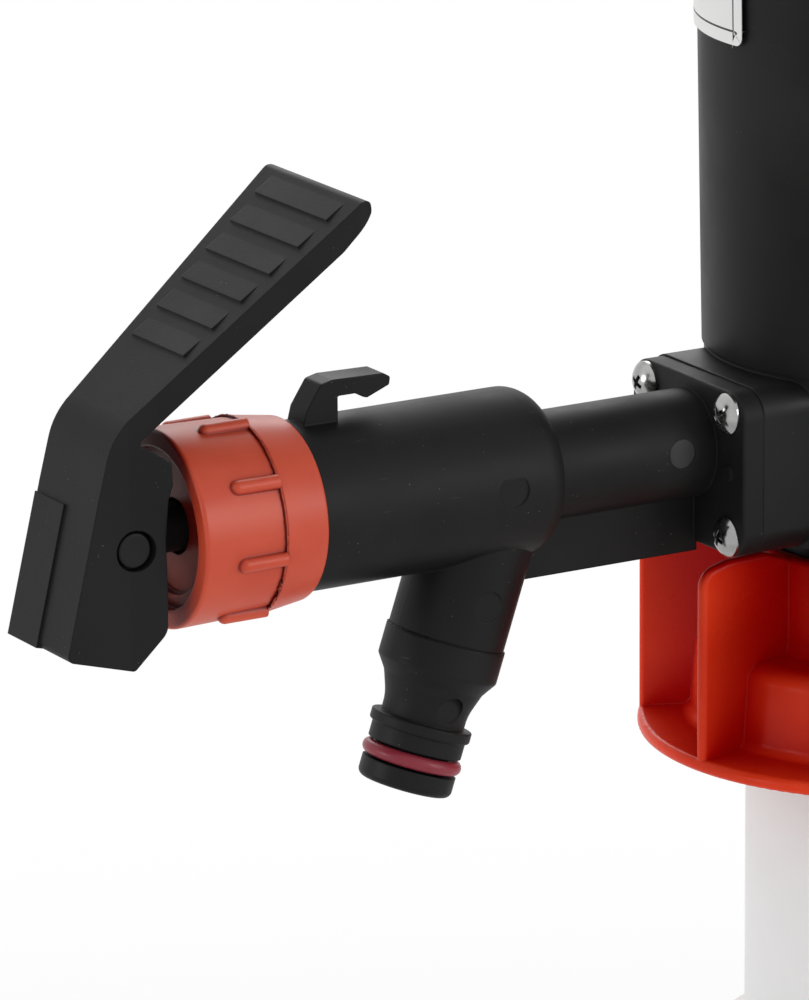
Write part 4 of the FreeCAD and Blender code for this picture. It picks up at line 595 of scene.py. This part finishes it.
print("label radii mm:", round(min(radii), 2), round(max(radii), 2), "faces:", len(label.data.polygons))

# %% [markdown]
# ## The flange screws
#
# Four plated pan-head screws hold the arm to the head. The CAD screw has the right place and
# size, but its head is a plain turned shape. The real head is domed, and its cross recess has
# sloping walls, so it catches one bright patch and one dark one. We model one screw upright on
# the origin, with the cross cut by a Boolean modifier, and copy it to the four places.

# %% One screw
SCREW_HEAD_R = 3.4 * MM
SCREW_HEAD = 2.4 * MM
SCREW_RIM = 0.7 * MM
SCREW_DOME = SCREW_HEAD - SCREW_RIM
DOME_R = (SCREW_HEAD_R ** 2 + SCREW_DOME ** 2) / (2 * SCREW_DOME)
SCREW_SHANK_R = 1.45 * MM
SCREW_SHANK = 10.5 * MM
RECESS_REACH = 2.0 * MM
RECESS_WIDTH = 1.1 * MM
RECESS_DEPTH = 1.7 * MM
RECESS_NARROWING = 0.45
TIP_NARROWING = 0.6
HEAD_SIDES = 48
HEAD_RINGS = 32
STEEP = 0.5


def cross_cutter():
    """A plus-shaped plug that narrows downwards, for the recess."""
    bpy.ops.object.select_all(action="DESELECT")
    bpy.ops.mesh.primitive_cube_add(size=1, location=(0, 0, SCREW_HEAD))
    cutter = begin("recess_plug")
    cutter.scale = (RECESS_WIDTH, RECESS_WIDTH, 2 * RECESS_DEPTH)
    settle(cutter)
    bpy.ops.object.mode_set(mode="EDIT")
    choose_faces(cutter, lambda centre, normal: abs(normal.z) < STEEP)
    arm_length = RECESS_REACH - RECESS_WIDTH / 2
    bpy.ops.mesh.extrude_faces_move(MESH_OT_extrude_faces_indiv={},
                                    TRANSFORM_OT_shrink_fatten={"value": arm_length})
    choose_faces(cutter, lambda centre, normal: normal.z < -STEEP)
    bpy.ops.transform.resize(value=(RECESS_NARROWING, RECESS_NARROWING, 1),
                             center_override=(0, 0, SCREW_HEAD - RECESS_DEPTH))
    bpy.ops.object.mode_set(mode="OBJECT")
    return cutter


def upright_screw():
    """A pan-head screw with its head's seat at z = 0 and its shank below."""
    cutter = cross_cutter()
    bpy.ops.object.select_all(action="DESELECT")
    bpy.ops.mesh.primitive_uv_sphere_add(segments=HEAD_SIDES, ring_count=HEAD_RINGS, radius=DOME_R,
                                         location=(0, 0, SCREW_HEAD - DOME_R))
    screw = begin("screw")
    settle(screw)
    bpy.ops.object.mode_set(mode="EDIT")
    bpy.ops.mesh.select_mode(type="FACE")
    bpy.ops.mesh.select_all(action="SELECT")
    bpy.ops.mesh.bisect(plane_co=(0, 0, SCREW_RIM), plane_no=(0, 0, 1), clear_inner=True, use_fill=True)
    choose_faces(screw, lambda centre, normal: normal.z < -STEEP)
    bpy.ops.mesh.extrude_region_move(TRANSFORM_OT_translate={"value": (0, 0, -SCREW_RIM)})
    bpy.ops.mesh.inset(thickness=SCREW_HEAD_R - SCREW_SHANK_R)
    bpy.ops.mesh.extrude_region_move(TRANSFORM_OT_translate={"value": (0, 0, -SCREW_SHANK)})
    bpy.ops.transform.resize(value=(TIP_NARROWING, TIP_NARROWING, 1), center_override=(0, 0, -SCREW_SHANK))
    bpy.ops.object.mode_set(mode="OBJECT")
    recess = screw.modifiers.new("cross recess", "BOOLEAN")
    recess.object = cutter
    recess.operation = "DIFFERENCE"
    finish_modifiers(screw)
    bpy.data.objects.remove(cutter)
    only(screw)
    bpy.ops.object.shade_smooth_by_angle(angle=SMOOTH_ANGLE)
    return screw


pattern = upright_screw()
print("screw faces:", len(pattern.data.polygons))

# %% [markdown]
# The four screws are the same piece, turned by different amounts, because nobody stops a screw
# at a chosen angle. Each copy gets its own mesh, so the move can be written into its points. The
# places come from the box of the CAD screws, so they follow if the flange ever changes.

# %% Four copies in their places
SCREW_SPIN = (20, 53, 86, 119)

low_corner, high_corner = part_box("flange_screws")
seat_x = low_corner.x + SCREW_HEAD
rows = (low_corner.y + SCREW_HEAD_R, high_corner.y - SCREW_HEAD_R)
levels = (low_corner.z + SCREW_HEAD_R, high_corner.z - SCREW_HEAD_R)
spots = [(y, z) for y in rows for z in levels]
lie = Matrix.Rotation(math.radians(-90), 4, "Y")
screws = []
for number, (y, z) in enumerate(spots):
    copy = pattern.copy()
    copy.data = pattern.data.copy()
    copy.name = "flange_screw_%d" % (number + 1)
    bpy.context.scene.collection.objects.link(copy)
    spin = Matrix.Rotation(math.radians(SCREW_SPIN[number]), 4, "X")
    copy.matrix_world = Matrix.Translation((seat_x, y, z)) @ spin @ lie
    settle(copy)
    copy.data.materials.append(finishes["steel"])
    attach(copy, "root")
    screws.append(copy)
bpy.data.objects.remove(pattern)
for screw in screws:
    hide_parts("flange_screws")
print("screw places in mm:", [(round(y / MM, 1), round(z / MM, 1)) for y, z in spots])

# %% [markdown]
# ## Mould flash
#
# Where two halves of a mould meet, a little plastic creeps out and stays as a thin ragged fin.
# On the nut it runs round the step, and on the nozzle it marks the seam with the spout. A thin
# torus gives the fin, and a small random shove to its points, with a fixed seed, makes it ragged.
# The nut's flash is torn at the lower front, so the points there are shoved once more.

# %% Ragged fins
FIN_SEGMENTS = 240
FIN_SIDES = 8
TORN_X = 0.45
TORN_Y = -0.2
SOFTENING = 0.4


def ragged_fin(name, ring_r, fin_r, place, tilt, finish, seed, shove, torn=0.0):
    """A thin uneven ring, its axis turned about Y from upright by a tilt in degrees."""
    bpy.ops.object.select_all(action="DESELECT")
    bpy.ops.mesh.primitive_torus_add(major_segments=FIN_SEGMENTS, minor_segments=FIN_SIDES,
                                     major_radius=ring_r, minor_radius=fin_r, location=(0, 0, 0))
    fin = begin(name)
    bpy.ops.object.mode_set(mode="EDIT")
    bpy.ops.mesh.select_all(action="SELECT")
    bpy.ops.transform.vertex_random(offset=shove, uniform=0.0, normal=0.6, seed=seed)
    choose_faces(fin, lambda centre, normal: centre.x > TORN_X * ring_r and centre.y < TORN_Y * ring_r)
    bpy.ops.transform.vertex_random(offset=torn, uniform=0.0, normal=0.3, seed=seed)
    bpy.ops.object.mode_set(mode="OBJECT")
    fin.rotation_euler = (0, math.radians(tilt), 0)
    fin.location = place
    settle(fin)
    smooth = fin.modifiers.new("soften", "SMOOTH")
    smooth.factor = SOFTENING
    smooth.iterations = 1
    finish_modifiers(fin)
    bpy.ops.object.shade_smooth()
    fin.data.materials.append(finishes[finish])
    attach(fin, "root")
    print(name, "faces:", len(fin.data.polygons))

# %% [markdown]
# The nut's fin lies on its step, which is found from the nut's box. The nozzle's fin lies on the
# tilted spout, where the nozzle is pushed on.

# %% Two fins
NUT_STEP_R = 16.15 * MM
NUT_STEP_BACK = 8.3 * MM
SPOUT_TILT = 19.0
SEAM_R = 9.8 * MM
SEAM_PLACE = (-87.92 * MM, 0, 21.41 * MM)

nut_low, nut_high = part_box("gland_nut")
nut_place = (nut_high.x - NUT_STEP_BACK, 0, (nut_low.z + nut_high.z) / 2)
ragged_fin("nut_flash", NUT_STEP_R, 0.16 * MM, nut_place, 90, "nut_red", seed=5, shove=0.10 * MM,
           torn=0.45 * MM)
ragged_fin("nozzle_seam", SEAM_R, 0.13 * MM, SEAM_PLACE, SPOUT_TILT, "arm_black", seed=8,
           shove=0.07 * MM)

# %% [markdown]
# ## The witness disc
#
# An ejector pin pushes the arm out of its mould and leaves a flat round mark. The CAD has the
# shallow pocket, and a thin disc fills most of it, so a dark gap stays at its right edge. The disc's
# flat face mirrors the light more evenly than the curved tube round it; its paler grey is painted sheen.

# %% Witness disc
DISC_R = 2.42 * MM
DISC_THICK = 0.4 * MM
DISC_EDGE = 0.06 * MM
DISC_SIDES = 64
DISC_PLACE = (-48.16 * MM, -8.78 * MM + DISC_THICK / 2, 48.4 * MM)

bpy.ops.object.select_all(action="DESELECT")
bpy.ops.mesh.primitive_cylinder_add(vertices=DISC_SIDES, radius=DISC_R, depth=DISC_THICK)
disc = begin("witness_disc")
bpy.ops.object.mode_set(mode="EDIT")
choose_faces(disc, lambda centre, normal: normal.z > STEEP)
bpy.ops.mesh.bevel(offset=DISC_EDGE, segments=2, affect="EDGES")
bpy.ops.object.mode_set(mode="OBJECT")
disc.rotation_euler = (math.pi / 2, 0, 0)
disc.location = DISC_PLACE
settle(disc)
bpy.ops.object.shade_smooth_by_angle(angle=SMOOTH_ANGLE)
disc.data.materials.append(finishes["witness_black"])
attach(disc, "root")
print("witness disc faces:", len(disc.data.polygons))

# %% [markdown]
# ## The stage
#
# A pale floor carries the pump on its strainer. Near the pump it is ordinary matt board that
# takes the shadow; far away it turns into the plain white that the world shows to the camera,
# so the horizon disappears. A ray that the camera sends, or that a shiny or clear piece sends on,
# sees the white; a ray that carries light back sees the board.

# %% Floor
FLOOR_HALF = 15.0
FLOOR_PLAIN = 0.5
FLOOR_WHITE = 1.3
BOARD_TONE = 0.86
BOARD_ROUGHNESS = 0.9
WHITE = (1, 1, 1, 1)


def looking_rays(tree, place):
    """1 for a ray that looks at the background, 0 for one that gathers light from it."""
    column, row = place
    rays = add_node(tree, "ShaderNodeLightPath", place).outputs
    seen = math_node(tree, (column + 1, row), "MAXIMUM", rays["Is Camera Ray"], rays["Is Glossy Ray"])
    return math_node(tree, (column + 2, row), "MAXIMUM", seen, rays["Is Transmission Ray"])


def blend_shaders(tree, place, share, first, second, target):
    """Mix two shaders by a share and wire the result to the tree's output."""
    blend = put_node(tree, "ShaderNodeMixShader", place)
    for socket, value in zip(blend.inputs, (share, first, second)):
        fill(tree, socket, value)
    fill(tree, target, blend.outputs["Shader"])


bpy.ops.object.select_all(action="DESELECT")
bpy.ops.mesh.primitive_plane_add(size=2 * FLOOR_HALF, location=(0, 0, cad_box[0].z))
floor = begin("floor")
floor_material = bpy.data.materials.new("floor_board")
floor_material.use_nodes = True
floor_tree = floor_material.node_tree
board = floor_tree.nodes["Principled BSDF"]
board.inputs["Base Color"].default_value = colour(grey(BOARD_TONE))
board.inputs["Roughness"].default_value = BOARD_ROUGHNESS
floor_place = add_node(floor_tree, "ShaderNodeTexCoord", (-6, 0)).outputs["Object"]
away = add_node(floor_tree, "ShaderNodeVectorMath", (-5, 0), {"operation": "LENGTH"})
floor_tree.links.new(floor_place, away.inputs[0])
far = add_node(floor_tree, "ShaderNodeMapRange", (-4, 0), {"interpolation_type": "SMOOTHSTEP"},
               Value=away.outputs["Value"], From_Min=FLOOR_PLAIN, From_Max=FLOOR_WHITE)
share = math_node(floor_tree, (-2, -1), "MULTIPLY", far.outputs["Result"], looking_rays(floor_tree, (-5, -2)))
white = add_node(floor_tree, "ShaderNodeEmission", (-2, -2), Color=WHITE, Strength=1.0)
blend_shaders(floor_tree, (0, 0), share, board.outputs["BSDF"], white.outputs["Emission"],
              floor_tree.nodes["Material Output"].inputs["Surface"])
floor.data.materials.append(floor_material)
print("floor level in mm:", round(cad_box[0].z / MM, 1))

# %% [markdown]
# ## The world
#
# A product photograph is taken in a white tent: the pump is lit softly from all round, and the
# camera sees plain white paper. So the world is dimmer as a light than as a background. The paper
# is also what shiny plastic mirrors, which gives black mouldings their grey sheen.

# %% World
AMBIENT = 0.62

world = bpy.data.worlds.new("studio")
bpy.context.scene.world = world
world.use_nodes = True
sky = world.node_tree
dim = sky.nodes["Background"]
dim.inputs["Color"].default_value = WHITE
dim.inputs["Strength"].default_value = AMBIENT
paper = add_node(sky, "ShaderNodeBackground", (-1, -2), Color=WHITE, Strength=1.0)
blend_shaders(sky, (1, 0), looking_rays(sky, (-3, 2)), dim.outputs["Background"], paper.outputs["Background"],
              sky.nodes["World Output"].inputs["Surface"])
print("world strength as a light:", AMBIENT)

# %% [markdown]
# ## The lamps
#
# Three large soft boxes shape the pump. The front one lights the faces that look at the camera,
# a weak one on the left draws a rim on the barrel, and one behind lifts the edges on the right.
# A large lamp gives soft shadows, as in the photograph. They are kept low, so the white tube
# stays just under plain white.

# %% Soft boxes
def soft_box(name, place, size, power):
    """A square soft light at a place in metres, turned towards the frame's origin."""
    data = bpy.data.lights.new(name, "AREA")
    data.shape = "SQUARE"
    data.size = size
    data.energy = power
    lamp = bpy.data.objects.new(name, data)
    bpy.context.scene.collection.objects.link(lamp)
    lamp.location = place
    lamp.rotation_euler = (-Vector(place)).to_track_quat("-Z", "Y").to_euler()
    print(name, "watts:", power)


soft_box("left_light", (-2.2, 0.4, 0.35), 0.7, 11)
soft_box("front_light", (1.3, -2.0, 0.7), 1.0, 18)
soft_box("back_light", (0.8, 1.9, 1.4), 1.4, 18)

# %% [markdown]
# ## Finish
#
# The Standard view keeps colours as they are, which a white background needs.

# %% Finish
bpy.context.scene.view_settings.view_transform = "Standard"
